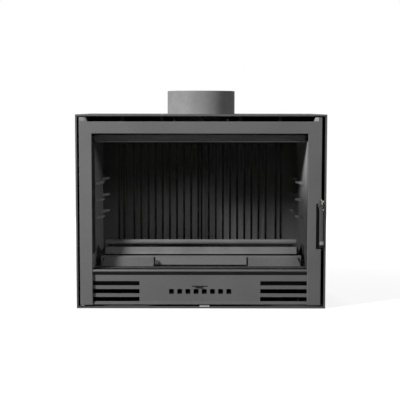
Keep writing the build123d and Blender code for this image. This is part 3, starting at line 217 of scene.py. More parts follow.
bpy.context.scene.world = studio_sky()
print("sky light:", SKY_LIGHT)

# %% [markdown]
# ## Lamps
# One soft lamp from the upper left is the main light. A weaker one crosses it from the
# right, so that each reaches the far half of the firebox past the door's edge. A faint
# one in front, level with the floor, lifts what faces down and ahead, and the last lights
# the back. All four are round area lamps that aim at the middle of the insert.

# %% Lamps
LAMPS = {        # degrees, metres, watts
    "key": {"turn": -54, "rise": 28, "away": 3.0, "size": 0.6, "power": 106.0},
    "cross": {"turn": 40, "rise": 24, "away": 2.5, "size": 0.5, "power": 9.0},
    "low": {"turn": 0, "rise": -2, "away": 2.0, "size": 0.8, "power": 1.2},
    "back": {"turn": 180, "rise": 3, "away": 2.4, "size": 0.5, "power": 40.0},
}
LAMP_AIM = Vector((0, -0.15, 0.3))


def soft_lamp(name, turn, rise, away, size, power):
    """A round area lamp, turned from straight ahead (+ is right) and raised, in degrees."""
    light = bpy.data.lights.new(name, "AREA")
    light.shape = "DISK"
    light.size = size
    light.energy = power
    lamp = bpy.data.objects.new("lamp_" + name, light)
    lamp.matrix_world = (Matrix.Translation(LAMP_AIM)
                         @ Matrix.Rotation(math.radians(turn), 4, "Z")
                         @ Matrix.Rotation(math.radians(90 - rise), 4, "X")
                         @ Matrix.Translation((0, 0, away)))
    bpy.context.scene.collection.objects.link(lamp)


for lamp_name, lamp_facts in LAMPS.items():
    soft_lamp(lamp_name, **lamp_facts)
print("lamps:", ", ".join(LAMPS))


# %% [markdown]
# ## Finishes
# Each finish is one procedural material. A helper starts the shader with the constants
# that are the same everywhere; noise in Object coordinates then varies the colour, the
# roughness and the bump, so that nothing slides when a part moves. A mask made of two
# smooth steps on each axis picks out a box of the part, for painted shade, a painted
# highlight or a lighter patch.

# %% Patterns on a surface
ZONE_EDGE = 0.0003
NOISE_RANGE = (0.3, 0.7)   # where most of a noise's values lie


class Surface(Tree):
    """A material's tree, with patterns that stay put on the part."""

    def __init__(self, tree):
        super().__init__(tree)
        self.place = self.node("ShaderNodeTexCoord", output="Object")

    def noise(self, size, detail=3.0, rough=0.55, stretch=(1, 1, 1)):
        """Cloudy noise whose features are about this many metres across."""
        scale = tuple(s / size for s in stretch)
        place = self.node("ShaderNodeMapping", None, {"Vector": self.place, "Scale": scale})
        return self.node("ShaderNodeTexNoise", None,
                         {"Vector": place, "Scale": 1.0, "Detail": detail, "Roughness": rough})

    def band(self, value, low, high):
        """0 below low, 1 above high, smooth between."""
        return self.node("ShaderNodeMapRange", {"interpolation_type": "SMOOTHSTEP"},
                         {"Value": value, "From Min": low, "From Max": high})

    def along(self, axis):
        """The place along one axis, in metres."""
        return self.node("ShaderNodeSeparateXYZ", None, {"Vector": self.place}, output=axis)

    def inside(self, low, high, edge=ZONE_EDGE):
        """1 inside the box from low to high, 0 outside it."""
        mask = 1.0
        for axis, start, end in zip("XYZ", low, high):
            place = self.along(axis)
            entered = self.band(place, start - edge, start)
            mask = entered * (1 - self.band(place, end, end + edge)) * mask
        return mask


# %% Finish helper
MIX_COLOURS = (6, 7)       # colour inputs of a Mix node
MIX_RESULT = 2             # and its colour output


def grey(level):
    return (level, level, level)


class Finish(Surface):
    """A Principled material, and what is plugged into it."""

    def __init__(self, name, **constants):
        self.material = bpy.data.materials.new(name)
        self.material.use_nodes = True
        super().__init__(self.material.node_tree)
        self.shader = self.tree.nodes["Principled BSDF"]
        for label, value in constants.items():
            self.shader.inputs[label.replace("_", " ")].default_value = value

    def mix(self, factor, first, second):
        made = self.node("ShaderNodeMix", {"data_type": "RGBA"}, {"Factor": factor},
                         output=MIX_RESULT)
        for slot, value in zip(MIX_COLOURS, (first, second)):
            if isinstance(value, Wire):
                self.tree.links.new(value.socket, made.socket.node.inputs[slot])
            else:
                made.socket.node.inputs[slot].default_value = (*value, 1)
        return made

    def zoned(self, colour, zones):
        """The colour, with another grey in each (low, high, level) box."""
        for low, high, level in zones:
            colour = self.mix(self.inside(low, high), colour, grey(level))
        return colour

    def set(self, label, wire):
        self.tree.links.new(wire.socket, self.shader.inputs[label])

    def bump(self, *layers):
        """Stacks (height, metres) pairs of bump, finest last."""
        normal = None
        for height, distance in layers:
            sockets = {"Height": height, "Distance": distance}
            if normal:
                sockets["Normal"] = normal
            normal = self.node("ShaderNodeBump", None, sockets)
        self.set("Normal", normal)


# %% Put finishes on the CAD parts
def coat(finish, *names):
    """Gives these CAD parts the finish."""
    for name in names:
        nodes[name].data.materials[0] = finish.material
    print(finish.material.name, "on", len(names), "parts")


def dress(finish, slot):
    """Gives the finish to every CAD part that the record puts in this material slot."""
    coat(finish, *[name for name, given in slot_of.items() if given == slot])


# %% [markdown]
# ### Stove paint
# The casing and the door wear a matt, heat-proof grey paint. On sheet it is smooth with
# a fine grain. On the cast door the sand mould shows through as a soft orange peel. The
# recess behind the lever, the space under the ledge's nose and the inside of the casing get
# painted shade, and the tips of the door's ears a painted highlight, each in a box of its
# own in the same paint.

# %% Painted sheet and painted casting
PAINT_CLOUD = 0.16         # sizes of the noise, in metres
PAINT_SPECK = 0.0016
PAINT_SHEEN = 0.03
SPECK_HEIGHT = 0.00006


def stove_paint(name, tone, peel, peel_height, specular, zones=()):
    paint = Finish(name, Specular_IOR_Level=specular)
    cloud = paint.noise(PAINT_CLOUD, detail=2.0)
    speck = paint.noise(PAINT_SPECK, detail=2.0)
    skin = paint.noise(peel)
    shade = paint.band(cloud, *NOISE_RANGE) * 0.5 + paint.band(speck, 0.35, 0.65) * 0.5
    painted = paint.mix(shade, grey(tone * 0.90), grey(tone * 1.10))
    paint.set("Base Color", paint.zoned(painted, zones))
    paint.set("Roughness", paint.noise(PAINT_SHEEN) * 0.16 + 0.46)
    paint.bump((skin, peel_height), (speck, SPECK_HEIGHT))
    return paint


# %% Paint the casing and the door
BLACK = 0.006
SHEET = {"tone": 0.13, "peel": 0.004, "peel_height": 0.00008, "specular": 0.06}
CASTING = {"tone": 0.161, "peel": 0.003, "peel_height": 0.00022, "specular": 0.12}
# painted shade on the inside of the casing
CASING_INSIDE = ((-0.3484, -0.2080, 0.0032), (0.3484, 0.2105, 0.5436), BLACK)
# painted shade in the recess behind the lever and under the ledge's nose; painted highlights on
# the tips of the door's ears
DOOR_LIGHT_AND_SHADE = {
    "recess": ((0.3225, -0.2272, 0.1685), (0.3385, -0.2222, 0.2975), BLACK),
    "under the nose": ((-0.3040, -0.2246, 0.0945), (0.2978, -0.2190, 0.1025), BLACK),
    "right ear": ((0.3155, -0.2290, 0.5270), (0.3265, -0.2275, 0.5380), 0.50),
    "left ear": ((-0.3380, -0.2290, 0.5270), (-0.3250, -0.2275, 0.5380), 0.26),
}
SHELL = ("casing_left_side", "casing_right_side", "casing_top", "casing_base", "casing_back")

casing_paint = stove_paint("sheet_paint", **SHEET)
shell_paint = stove_paint("shell_paint", **SHEET, zones=(CASING_INSIDE,))
door_paint = stove_paint("casting_paint", **CASTING, zones=DOOR_LIGHT_AND_SHADE.values())
dress(casing_paint, "casing_paint")
coat(shell_paint, *SHELL)
dress(door_paint, "door_paint")

# %% [markdown]
# ### Cast iron
# A casting keeps the waves and the pits of its sand mould. One cloudy noise gives the
# waves and a fine, rough one the pits, and both also move the tone and the shine a
# little. The collar, the handle, the ash pan's pull and the firebox's black steel differ
# only in tone, grain and gloss, so one function makes them all.

# %% Cast iron
IRON_CLOUD = 0.07
PIT_SIZE = 0.0025
PIT_ROUGHNESS = 0.65
WAVE_HEIGHT = 0.0006
PIT_HEIGHT = 0.00035


def cast_iron(name, tone, grain, specular, roughness):
    iron = Finish(name, Specular_IOR_Level=specular)
    cloud = iron.noise(IRON_CLOUD)
    pits = iron.noise(grain, detail=4.0, rough=PIT_ROUGHNESS)
    shade = iron.band(cloud, *NOISE_RANGE) * 0.5 + iron.band(pits, *NOISE_RANGE) * 0.5
    iron.set("Base Color", iron.mix(shade, grey(tone * 0.82), grey(tone * 1.18)))
    iron.set("Roughness", pits * 0.2 + roughness)
    iron.bump((cloud, WAVE_HEIGHT), (pits, PIT_HEIGHT))
    return iron


collar_iron = cast_iron("collar_casting", tone=0.27, grain=0.003, specular=0.05, roughness=0.4)
handle_iron = cast_iron("handle_satin", tone=0.09, grain=0.002, specular=0.2, roughness=0.3)
firebox_steel = cast_iron("firebox_black", tone=0.03, grain=0.002, specular=0.05, roughness=0.5)
dress(collar_iron, "collar_iron")
dress(handle_iron, "handle_iron")
dress(firebox_steel, "firebox_steel")

# %% [markdown]
# ### Hearth iron
# The hearth parts are lighter in front and painted black behind the log retainer's slat,
# as painted shade where the slat shades them. The deflector is the other way round: only
# its lower lip is bright, as a painted highlight. Both are one iron that turns to a second
# tone at a place on one axis.

# %% Iron in two tones
SLAT_FRONT = -0.1530       # front of the retainer's slat, along Y
SLAT_FADE = 0.002
LIP_TOP = 0.4690           # top of the deflector's lip, along Z
LIP_FADE = 0.0006


def two_tone_iron(name, tone, beyond, specular, axis, start, fade):
    """Iron with one tone up to the start, and another past the fade."""
    iron = Finish(name, Specular_IOR_Level=specular)
    cloud = iron.noise(IRON_CLOUD)
    pits = iron.noise(PIT_SIZE, detail=4.0, rough=PIT_ROUGHNESS)
    shade = iron.band(cloud, *NOISE_RANGE) * 0.4 + iron.band(pits, *NOISE_RANGE) * 0.6
    first_tone = iron.mix(shade, grey(tone * 0.85), grey(tone * 1.15))
    zone = iron.band(iron.along(axis), start, start + fade)
    iron.set("Base Color", iron.mix(zone, first_tone, grey(beyond)))
    iron.set("Roughness", pits * 0.2 + 0.55)
    iron.bump((cloud, WAVE_HEIGHT), (pits, PIT_HEIGHT))
    return iron


# painted shade behind the front of the retainer's slat
BEHIND_SLAT = {"axis": "Y", "start": SLAT_FRONT, "fade": SLAT_FADE}
hearth_iron = two_tone_iron("hearth_casting", 0.22, 0.02, 0.06, **BEHIND_SLAT)
# a painted highlight on the deflector's lower lip
deflector_iron = two_tone_iron("deflector_casting", 0.75, 0.12, 0.6, "Z", LIP_TOP, LIP_FADE)
pull_iron = cast_iron("pull_casting", tone=0.09, grain=0.002, specular=0.1, roughness=0.5)
dress(hearth_iron, "hearth_iron")
coat(deflector_iron, "upper_deflector")
coat(pull_iron, "ash_pan_pull")


# %% Ash pan front
# painted shade round the ash pan's front
PAN_SIDE_SHADE = 0.0022          # black margin at its sides
PAN_FOOT_SHADE = 0.0030          # and at its foot
PAN_FADE = 0.0008
BEYOND = 1.0               # further than any side of the insert


def pan_front_iron():
    """Iron with a black margin of painted shade, for the dark gap round the ash pan's front."""
    low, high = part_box("ash_pan_front")
    iron = Finish("pan_casting", Specular_IOR_Level=0.08)
    speck = iron.noise(PIT_SIZE, detail=4.0, rough=PIT_ROUGHNESS)
    shade = iron.mix(iron.band(speck, *NOISE_RANGE), grey(0.22), grey(0.29))
    face = iron.inside((low.x + PAN_SIDE_SHADE, -BEYOND, low.z + PAN_FOOT_SHADE),
                       (high.x - PAN_SIDE_SHADE, BEYOND, high.z + BEYOND), PAN_FADE)
    iron.set("Base Color", iron.mix(face, grey(0.01), shade))
    iron.set("Roughness", speck * 0.2 + 0.5)
    iron.bump((speck, 0.0003))
    return iron


coat(pan_front_iron(), "ash_pan_front")


# %% Firebox floor and log retainer
# the floor plate too is painted black behind the slat, as painted shade
floor_iron = two_tone_iron("floor_casting", 0.08, 0.02, 0.04, **BEHIND_SLAT)
coat(floor_iron, "firebox_base_plate")
for name, tone in (("retainer_bar", 0.22), ("retainer_slat", 0.285)):
    coat(cast_iron(name + "_iron", tone, PIT_SIZE, specular=0.06, roughness=0.55), name)

# %% [markdown]
# ### Linings with painted light and shade
# The rear lining is painted darker towards its top and its sides, and has a painted shadow
# in the corner on the outer side of each rib. A rib's place follows from the pitch: the
# remainder after rounding says how far a point is from the nearest rib. The left lining is
# painted lighter and the right one darker, with painted light towards its top, and painted
# shade lies at the front of the left one. The lug tips are lighter.

# %% Painted shadow beside the ribs
RIB_PITCH = 0.0222
LAST_RIB = 9                   # ribs on each side of the middle one
ROW_END = tuple((LAST_RIB + part) * RIB_PITCH for part in (0.40, 0.45))
EDGE_RIBS = (0.2309, 0.2465)   # the pair near each side, from the middle
RIB_SHADE = (0.0018, 0.0080)   # painted shadow line, outwards from a rib's middle
SHADE_FADES = (0.0004, 0.0006)
LINING_MIDDLE = -0.0031


def rib_shadow_line(iron, outward):
    """1 where the distance outwards from a rib's middle lies in RIB_SHADE."""
    near, far = (iron.band(outward, place - fade, place + fade)
                 for place, fade in zip(RIB_SHADE, SHADE_FADES))
    return near * (1 - far)


def rib_shadow(iron):
    """1 in the corner on the outer side of each rib of the rear lining, where its shadow is
    painted.
    """
    across = iron.along("X") - LINING_MIDDLE
    side = across.through("SIGN")
    nearest = (across / RIB_PITCH).through("ROUND")
    outward = (across - nearest * RIB_PITCH) * side
    line = rib_shadow_line(iron, outward) * (1 - iron.band(across * side, *ROW_END))
    for place in EDGE_RIBS:
        line = line + rib_shadow_line(iron, across * side - place)
    return line


# %% Linings
TOP_BAND_RISE = (0.25, 0.43)       # heights between which the colour turns to its top share
TOP_BAND_SLANT = 0.12              # it starts higher on the right
TOP_BAND_CLOUD = 0.06
LINING_CLOUD_STRETCH = (1, 1, 0.4)     # the clouds are drawn out upwards
SHADED_SIDES = (0.06, 0.22)         # distances from the middle to the painted shade at the sides
SIDE_SHADE_MIDDLE = -0.01
SIDE_SHADE_SHARE = 0.65


def lit_and_shaded_lining(name, tone, top, ribs=False, zones=()):
    """Iron whose colour turns towards the top to this share of its tone: painted shade where the
    share is under 1, painted light where it is over 1.
    """
    iron = Finish(name, Specular_IOR_Level=0.0)
    cloud = iron.noise(TOP_BAND_CLOUD, detail=4.0, stretch=LINING_CLOUD_STRETCH)
    pits = iron.noise(PIT_SIZE, detail=4.0, rough=PIT_ROUGHNESS)
    # painted shade or painted light towards the top, in a band that starts higher on the right
    height = iron.along("Z") - iron.along("X") * TOP_BAND_SLANT + cloud * TOP_BAND_CLOUD
    top_band = iron.band(height, *TOP_BAND_RISE)
    first_tone = iron.mix(iron.band(pits, *NOISE_RANGE), grey(tone * 0.88), grey(tone * 1.12))
    shade = iron.mix(top_band, first_tone, grey(tone * top))
    if ribs:
        # painted shade towards the sides of the rear lining, and a painted shadow beside each rib
        aside = (iron.along("X") - SIDE_SHADE_MIDDLE).through("ABSOLUTE")
        shade = iron.mix(iron.band(aside, *SHADED_SIDES) * SIDE_SHADE_SHARE, shade, grey(tone * 0.1))
        shade = iron.mix(rib_shadow(iron), shade, grey(0.002))
    iron.set("Base Color", iron.zoned(shade, zones))
    iron.set("Roughness", pits * 0.2 + 0.6)
    iron.bump((cloud, WAVE_HEIGHT), (pits, 0.0004))
    return iron


LUG_TIP = 0.009
LUG_HEIGHTS = (0.2, 0.4)
left_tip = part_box("left_side_liner")[1].x - LUG_TIP
right_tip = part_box("right_side_liner")[0].x + LUG_TIP
left_lugs = ((left_tip, -BEYOND, LUG_HEIGHTS[0]), (0, BEYOND, LUG_HEIGHTS[1]), 0.5)
# painted shade at the front of the left lining, beside the door's stile
left_front_shade = ((-BEYOND, -BEYOND, 0.15), (0, -0.142, 0.6), 0.08)
right_lugs = ((0, -BEYOND, LUG_HEIGHTS[0]), (right_tip, BEYOND, LUG_HEIGHTS[1]), 0.16)
# the rear lining is painted darker towards its top; the left one is painted lighter and the right
# one darker, with painted light towards its top
coat(lit_and_shaded_lining("sooted_ribs", 0.26, 0.14, ribs=True), "rear_liner")
coat(lit_and_shaded_lining("sooted_left", 0.40, 1.0, zones=(left_lugs, left_front_shade)), "left_side_liner")
coat(lit_and_shaded_lining("sooted_right", 0.07, 6.0, zones=(right_lugs,)), "right_side_liner")
print("linings:", 2 * LAST_RIB + 1 + 2 * len(EDGE_RIBS), "ribs, lug tips at",
      round(left_tip, 4), round(right_tip, 4))


# %% [markdown]
# ### Board and glass
# The baffle is vermiculite board: pressed gold and grey flakes, which are the cells of a
# Voronoi texture. The ceramic glass is almost clear and only mirrors at a glancing
# angle, so its opacity rises with the angle and with a thin film of smoke.

# %% Baffle board
FLAKES_PER_METRE = 420.0
SMOKED = (0.05, 0.045, 0.04)


def baffle_finish():
    board = Finish("vermiculite", Specular_IOR_Level=0.2, Roughness=0.85)
    flakes = board.node("ShaderNodeTexVoronoi", {"feature": "F1"},
                        {"Vector": board.place, "Scale": FLAKES_PER_METRE}, output="Color")
    tone = board.node("ShaderNodeRGBToBW", None, {"Color": flakes})
    cloud = board.noise(0.05)
    buff = board.mix(tone, (0.10, 0.08, 0.05), (0.26, 0.21, 0.14))
    board.set("Base Color", board.mix(board.band(cloud, 0.35, 0.65), buff, SMOKED))
    board.bump((tone, 0.0005))
    return board


dress(baffle_finish(), "baffle_board")


# %% Stove glass
GLASS_TINT = (0.02, 0.018, 0.015, 1)


def glass_finish():
    glass = Finish("clear_ceramic", Roughness=0.04, IOR=1.5, Specular_IOR_Level=0.4)
    glass.shader.inputs["Base Color"].default_value = GLASS_TINT
    facing = glass.node("ShaderNodeLayerWeight", None, {"Blend": 0.25}, output="Facing")
    film = glass.noise(0.08, detail=2.0) * 0.01
    glass.set("Alpha", facing ** 2.0 * 0.5 + 0.03 + film)
    return glass


dress(glass_finish(), "stove_glass")


# %% [markdown]
# ### Small metal
# Screws, clips and hinge pins are zinc plated, with the crystal spangle of galvanising.
# The ferrule is nickel and the tab bare steel: the same finish in other tones. The hook
# is dark chrome with patches of painted highlight in a band along it, for its glints.

# %% Plated metal
def plated(name, colour, roughness, spangle, spread):
    """Metal with crystals this many metres across, which differ by the spread."""
    metal = Finish(name, Metallic=1.0)
    crystals = metal.node("ShaderNodeTexVoronoi", None,
                          {"Vector": metal.place, "Scale": 1 / spangle}, output="Color")
    tone = metal.node("ShaderNodeRGBToBW", None, {"Color": crystals})
    low = tuple(c * (1 - spread) for c in colour)
    metal.set("Base Color", metal.mix(tone, low, colour))
    scratches = metal.noise(0.0006, detail=2.0, stretch=(1, 1, 0.1))
    metal.set("Roughness", scratches * 0.12 + roughness)
    metal.bump((scratches, 0.00004))
    return metal


zinc_steel = plated("zinc_plate", grey(0.30), roughness=0.45, spangle=0.004, spread=0.25)
nickel = plated("nickel_plate", (0.20, 0.20, 0.19), roughness=0.35, spangle=0.005, spread=0.1)

# %% Chrome with painted glints
HOOK_GLINTS = (0.3335, 0.3425)   # along X
GLINT_FADE = 0.002
DULL_CHROME = (0.06, 0.06, 0.05)
GLINT_CHROME = (0.74, 0.73, 0.65)


def worn_chrome():
    chrome = Finish("worn_chrome", Metallic=1.0)
    place = chrome.along("X")
    start, end = HOOK_GLINTS
    # patches of painted highlight, in a band along X
    glint = chrome.band(chrome.noise(0.006, detail=2.0), 0.44, 0.54)
    glint = glint * chrome.band(place, start, start + GLINT_FADE)
    glint = glint * (1 - chrome.band(place, end - GLINT_FADE, end))
    chrome.set("Base Color", chrome.mix(glint, DULL_CHROME, GLINT_CHROME))
    chrome.set("Roughness", 0.5 - glint * 0.3)
    return chrome


hook_chrome = worn_chrome()


# %% Put the metals on
tab_steel = plated("bare_steel", grey(0.42), roughness=0.45, spangle=0.003, spread=0.2)
dress(zinc_steel, "zinc_steel")
dress(firebox_steel, "shutter_steel")
dress(nickel, "ferrule_nickel")
dress(hook_chrome, "hook_chrome")
dress(tab_steel, "tab_steel")
coat(firebox_steel, "handle_end_cap", "convection_outlet_grille")


# %% [markdown]
# ## Braided rope seal
# The door closes on a glass-fibre rope in a groove. Real rope is a braided sleeve: flat
# strands wind both ways round a core and pass over and under each other. The curve is
# the groove's rounded rectangle; a node tree copies it once for each strand, moves
# every point out along its own helix, and gives the strands their thickness.

# %% Geometry node helper
class Maker(Tree):
    """A Geometry Nodes tree with named inputs."""

    def __init__(self, name):
        super().__init__(bpy.data.node_groups.new(name, "GeometryNodeTree"))
        self.tree.interface.new_socket("Geometry", in_out="OUTPUT",
                                       socket_type="NodeSocketGeometry")
        self.inputs = self.tree.nodes.new("NodeGroupInput")
        self.values = {}

    def given(self, name, kind, value):
        """A named input of the tree, and the value that this piece gives it."""
        socket = self.tree.interface.new_socket(name, in_out="INPUT",
                                                socket_type="NodeSocket" + kind)
        self.values[socket.identifier] = value
        return Wire(self, self.inputs.outputs[name])

    def other(self, wire, output):
        """A second output of the node that this wire comes from."""
        return Wire(self, wire.socket.node.outputs[output])

    def vector(self, operation, first, second):
        return self.node("ShaderNodeVectorMath", {"operation": operation}, {0: first, 1: second})

    def scaled(self, vector, factor):
        return self.node("ShaderNodeVectorMath", {"operation": "SCALE"},
                         {0: vector, "Scale": factor})

    def joined(self, *shapes):
        join = self.tree.nodes.new("GeometryNodeJoinGeometry")
        for shape in shapes:
            self.tree.links.new(shape.socket, join.inputs[0])
        return Wire(self, join.outputs[0])


# %% Turn a tree into a mesh
def baked(maker, shape, finish):
    """Ends the tree, runs it on an empty mesh and returns the plain result."""
    whole = maker.node("GeometryNodeRealizeInstances", None, {"Geometry": shape})
    painted = maker.node("GeometryNodeSetMaterial", None,
                         {"Geometry": whole, "Material": finish.material})
    end = maker.tree.nodes.new("NodeGroupOutput")
    maker.tree.links.new(painted.socket, end.inputs["Geometry"])
    blank = bpy.data.objects.new("blank", bpy.data.meshes.new("blank"))
    bpy.context.scene.collection.objects.link(blank)
    modifier = blank.modifiers.new("make", "NODES")
    modifier.node_group = maker.tree
    for identifier, value in maker.values.items():
        modifier[identifier] = value
    seen = blank.evaluated_get(bpy.context.evaluated_depsgraph_get())
    mesh = bpy.data.meshes.new_from_object(seen)
    bpy.data.objects.remove(blank)
    return mesh


# %% Make a piece
def piece(name, mesh, body, stands_for=None):
    """Puts a finished mesh in the scene, on its body and in place of its CAD node."""
    made = bpy.data.objects.new(name, mesh)
    mesh.name = name
    bpy.context.scene.collection.objects.link(made)
    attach(made, body)
    if stands_for:
        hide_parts(stands_for)
    print(name, len(mesh.polygons), "faces")


# %% Rope, groove and strand sizes
QUARTER = math.pi / 2
ROPE_RADIUS = 0.005
ROPE_CORNER = 0.012
STRANDS_EACH_WAY = 4
STRAND_WIDTH = 0.0021      # half of a flat strand
STRAND_THICK = 0.0007      # half as well
STRAND_LIFT = 0.0006       # how far it rides over and under
TURN_LENGTH = 0.040        # rope used by one turn of a strand
POINTS_PER_WAVE = 5
CORNER_POINTS = 6
CORE_SIDES = 8
YARN_SIDES = 5


# %% Yarn, and the loop that it follows
def fibre(name, dark, light, size):
    yarn = Finish(name, Specular_IOR_Level=0.25, Roughness=0.8)
    hairs = yarn.noise(size)
    yarn.set("Base Color", yarn.mix(yarn.band(hairs, *NOISE_RANGE), dark, light))
    yarn.bump((hairs, 0.0001))
    return yarn


def loop_path(maker, low, high, inset, corner):
    """Upright rounded rectangle this far inside the box from low to high."""
    width = maker.given("Width", "Float", high.x - low.x - 2 * inset)
    height = maker.given("Height", "Float", high.z - low.z - 2 * inset)
    middle = maker.given("Middle", "Vector", tuple((low + high) / 2))
    flat = maker.node("GeometryNodeCurvePrimitiveQuadrilateral", None,
                      {"Width": width, "Height": height})
    if corner:
        flat = maker.node("GeometryNodeFilletCurve", {"mode": "POLY"},
                          {"Curve": flat, "Radius": corner, "Count": CORNER_POINTS})
    return maker.node("GeometryNodeTransform", None,
                      {"Geometry": flat, "Translation": middle, "Rotation": (QUARTER, 0, 0)})


def loop_length(low, high, inset, corner):
    """The same rectangle's length all the way round."""
    sides = 2 * (high.x - low.x + high.z - low.z - 4 * inset)
    return sides - (8 - 2 * math.pi) * corner


def outward(maker):
    """Field: the direction in the loop's plane that is square to the path."""
    tangent = maker.node("GeometryNodeInputTangent")
    return maker.vector("CROSS_PRODUCT", tangent, (0, 1, 0))


def tube(maker, path, radius, sides, flatten=1.0):
    """Thickness for a path: a round or flattened ring carried along it."""
    ring = maker.node("GeometryNodeCurvePrimitiveCircle", None,
                      {"Resolution": sides, "Radius": radius})
    ring = maker.node("GeometryNodeTransform", None, {"Geometry": ring, "Scale": (flatten, 1, 1)})
    return maker.node("GeometryNodeCurveToMesh", None, {"Curve": path, "Profile Curve": ring})


# %% Braid the rope
def braided_rope(finish):
    low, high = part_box("door_rope_seal")
    turns = round(loop_length(low, high, ROPE_RADIUS, ROPE_CORNER) / TURN_LENGTH)
    waves = turns * STRANDS_EACH_WAY
    maker = Maker("braid")
    path = loop_path(maker, low, high, ROPE_RADIUS, ROPE_CORNER)
    count = maker.given("Points", "Int", waves * POINTS_PER_WAVE)
    lift = maker.given("Lift", "Float", STRAND_LIFT)
    fine = maker.node("GeometryNodeResampleCurve", None, {"Curve": path, "Count": count})
    copies = maker.node("GeometryNodeDuplicateElements", {"domain": "SPLINE"},
                        {"Geometry": fine, "Amount": 2 * STRANDS_EACH_WAY})
    strand = maker.other(copies, "Duplicate Index")
    way = 1 - strand.maths("GREATER_THAN", strand, STRANDS_EACH_WAY - 0.5) * 2
    along = maker.node("GeometryNodeSplineParameter", output="Factor")
    angle = way * along * (2 * math.pi * turns) + strand * (2 * math.pi / STRANDS_EACH_WAY)
    wave = (along * (2 * math.pi * waves)).through("COSINE")
    reach = way * wave * lift + (ROPE_RADIUS - STRAND_THICK - STRAND_LIFT)
    deep = maker.node("ShaderNodeCombineXYZ", None, {"Y": angle.through("SINE")})
    arm = maker.vector("ADD", maker.scaled(outward(maker), angle.through("COSINE")), deep)
    wound = maker.node("GeometryNodeSetPosition", None,
                       {"Geometry": copies, "Offset": maker.scaled(arm, reach)})
    turned = maker.node("GeometryNodeSetCurveNormal", {"mode": "FREE"},
                        {"Curve": wound, "Normal": arm})
    thick = maker.given("Core radius", "Float", ROPE_RADIUS - 3 * STRAND_THICK)
    wide = maker.given("Strand width", "Float", STRAND_WIDTH)
    core = tube(maker, path, thick, CORE_SIDES)
    sleeve = tube(maker, turned, wide, YARN_SIDES, STRAND_THICK / STRAND_WIDTH)
    return baked(maker, maker.joined(core, sleeve), finish)


glass_fibre = fibre("graphite_fibre", (0.035, 0.035, 0.036), (0.085, 0.085, 0.085), 0.0006)
piece("braided_rope_seal", braided_rope(glass_fibre), "door", "door_rope_seal")

# %% [markdown]
# ## Woven glass tape
# A thin woven tape keeps the glass off the iron. Warp yarns run along it and pass over
# and under the weft yarns that cross it. The warp is the same loop copied five times
# side by side, each point raised or lowered in turn; the weft is one short yarn set at
# every point of the middle loop.

# %% Weave the tape
TAPE_WIDTH = 0.008
WARP_YARNS = 5
WARP_STEP = 0.0017
YARN_RADIUS = 0.00034
WEFT_STEP = 0.0025


def woven_tape(finish):
    low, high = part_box("glass_tape")
    maker = Maker("weave")
    path = loop_path(maker, low, high, TAPE_WIDTH / 2, 0)
    length = loop_length(low, high, TAPE_WIDTH / 2, 0)
    count = maker.given("Crossings", "Int", 2 * round(length / WEFT_STEP / 2))
    crossings = maker.node("GeometryNodeResampleCurve", None, {"Curve": path, "Count": count})
    warps = maker.node("GeometryNodeDuplicateElements", {"domain": "SPLINE"},
                       {"Geometry": crossings, "Amount": WARP_YARNS})
    yarn = maker.other(warps, "Duplicate Index")
    crossed = maker.node("GeometryNodeSplineParameter", output="Index") + yarn
    lift = (crossed * math.pi).through("COSINE") * YARN_RADIUS
    side = (yarn - (WARP_YARNS - 1) / 2) * WARP_STEP
    lifted = maker.node("ShaderNodeCombineXYZ", None, {"Y": lift})
    offset = maker.vector("ADD", maker.scaled(outward(maker), side), lifted)
    laid = maker.node("GeometryNodeSetPosition", None, {"Geometry": warps, "Offset": offset})
    thick = maker.given("Yarn radius", "Float", YARN_RADIUS)
    width = maker.given("Weft length", "Float", TAPE_WIDTH - 2 * YARN_RADIUS)
    warp = tube(maker, laid, thick, YARN_SIDES)
    rod = maker.node("GeometryNodeMeshCylinder", None,
                     {"Vertices": YARN_SIDES, "Radius": thick, "Depth": width})
    across = maker.node("FunctionNodeAlignRotationToVector", {"axis": "Z"},
                        {"Vector": outward(maker)})
    weft = maker.node("GeometryNodeInstanceOnPoints", None,
                      {"Points": crossings, "Instance": rod, "Rotation": across})
    return baked(maker, maker.joined(warp, weft), finish)


white_yarn = fibre("white_glass_yarn", (0.34, 0.34, 0.32), (0.62, 0.62, 0.59), 0.0005)
piece("woven_glass_tape", woven_tape(white_yarn), "door", "glass_tape")

# %% [markdown]
# ## Countersunk screws
# The casing is screwed together from outside. A flush screw needs a real pocket in the
# sheet, so the sheet's CAD mesh is copied, its loose triangles are merged, and a row of
# short cylinders is cut out of it. The same function and the same table lay out the
# pockets and the heads, so they can't drift apart.

# %% Screw rows
SCREW_RADIUS = 0.0042
SCREW_THICK = 0.0006
SCREW_SUNK = 0.00015       # heads sit just under the sheet's face
SOCKET_RADIUS = 0.0019
POCKET_RADIUS = 0.0046
POCKET_DEPTH = 0.0009
ROUND_SIDES = 24
SOCKET_SIDES = 6

# a row: its middle across the sheet and its height, its length, its number of screws
SIDE_ROWS = (((-0.1917, 0.29), 0.24, 3), ((0.199, 0.27), 0.46, 4))
BACK_ROWS = (((-0.341, 0.27), 0.46, 4), ((0.341, 0.27), 0.46, 4))
SCREWED = {      # the axis across each sheet, its outer face on that axis, and its rows
    "casing_left_side": ("x", -0.350, SIDE_ROWS),
    "casing_right_side": ("x", 0.350, SIDE_ROWS),
    "casing_back": ("y", 0.212, BACK_ROWS),
}


# %% Rows of discs on a sheet
def facing(axis, face):
    """Turn that lays the XY plane on this face, with +Z outwards."""
    if axis == "x":
        return (QUARTER, 0, math.copysign(QUARTER, face))
    return (QUARTER, 0, math.pi)


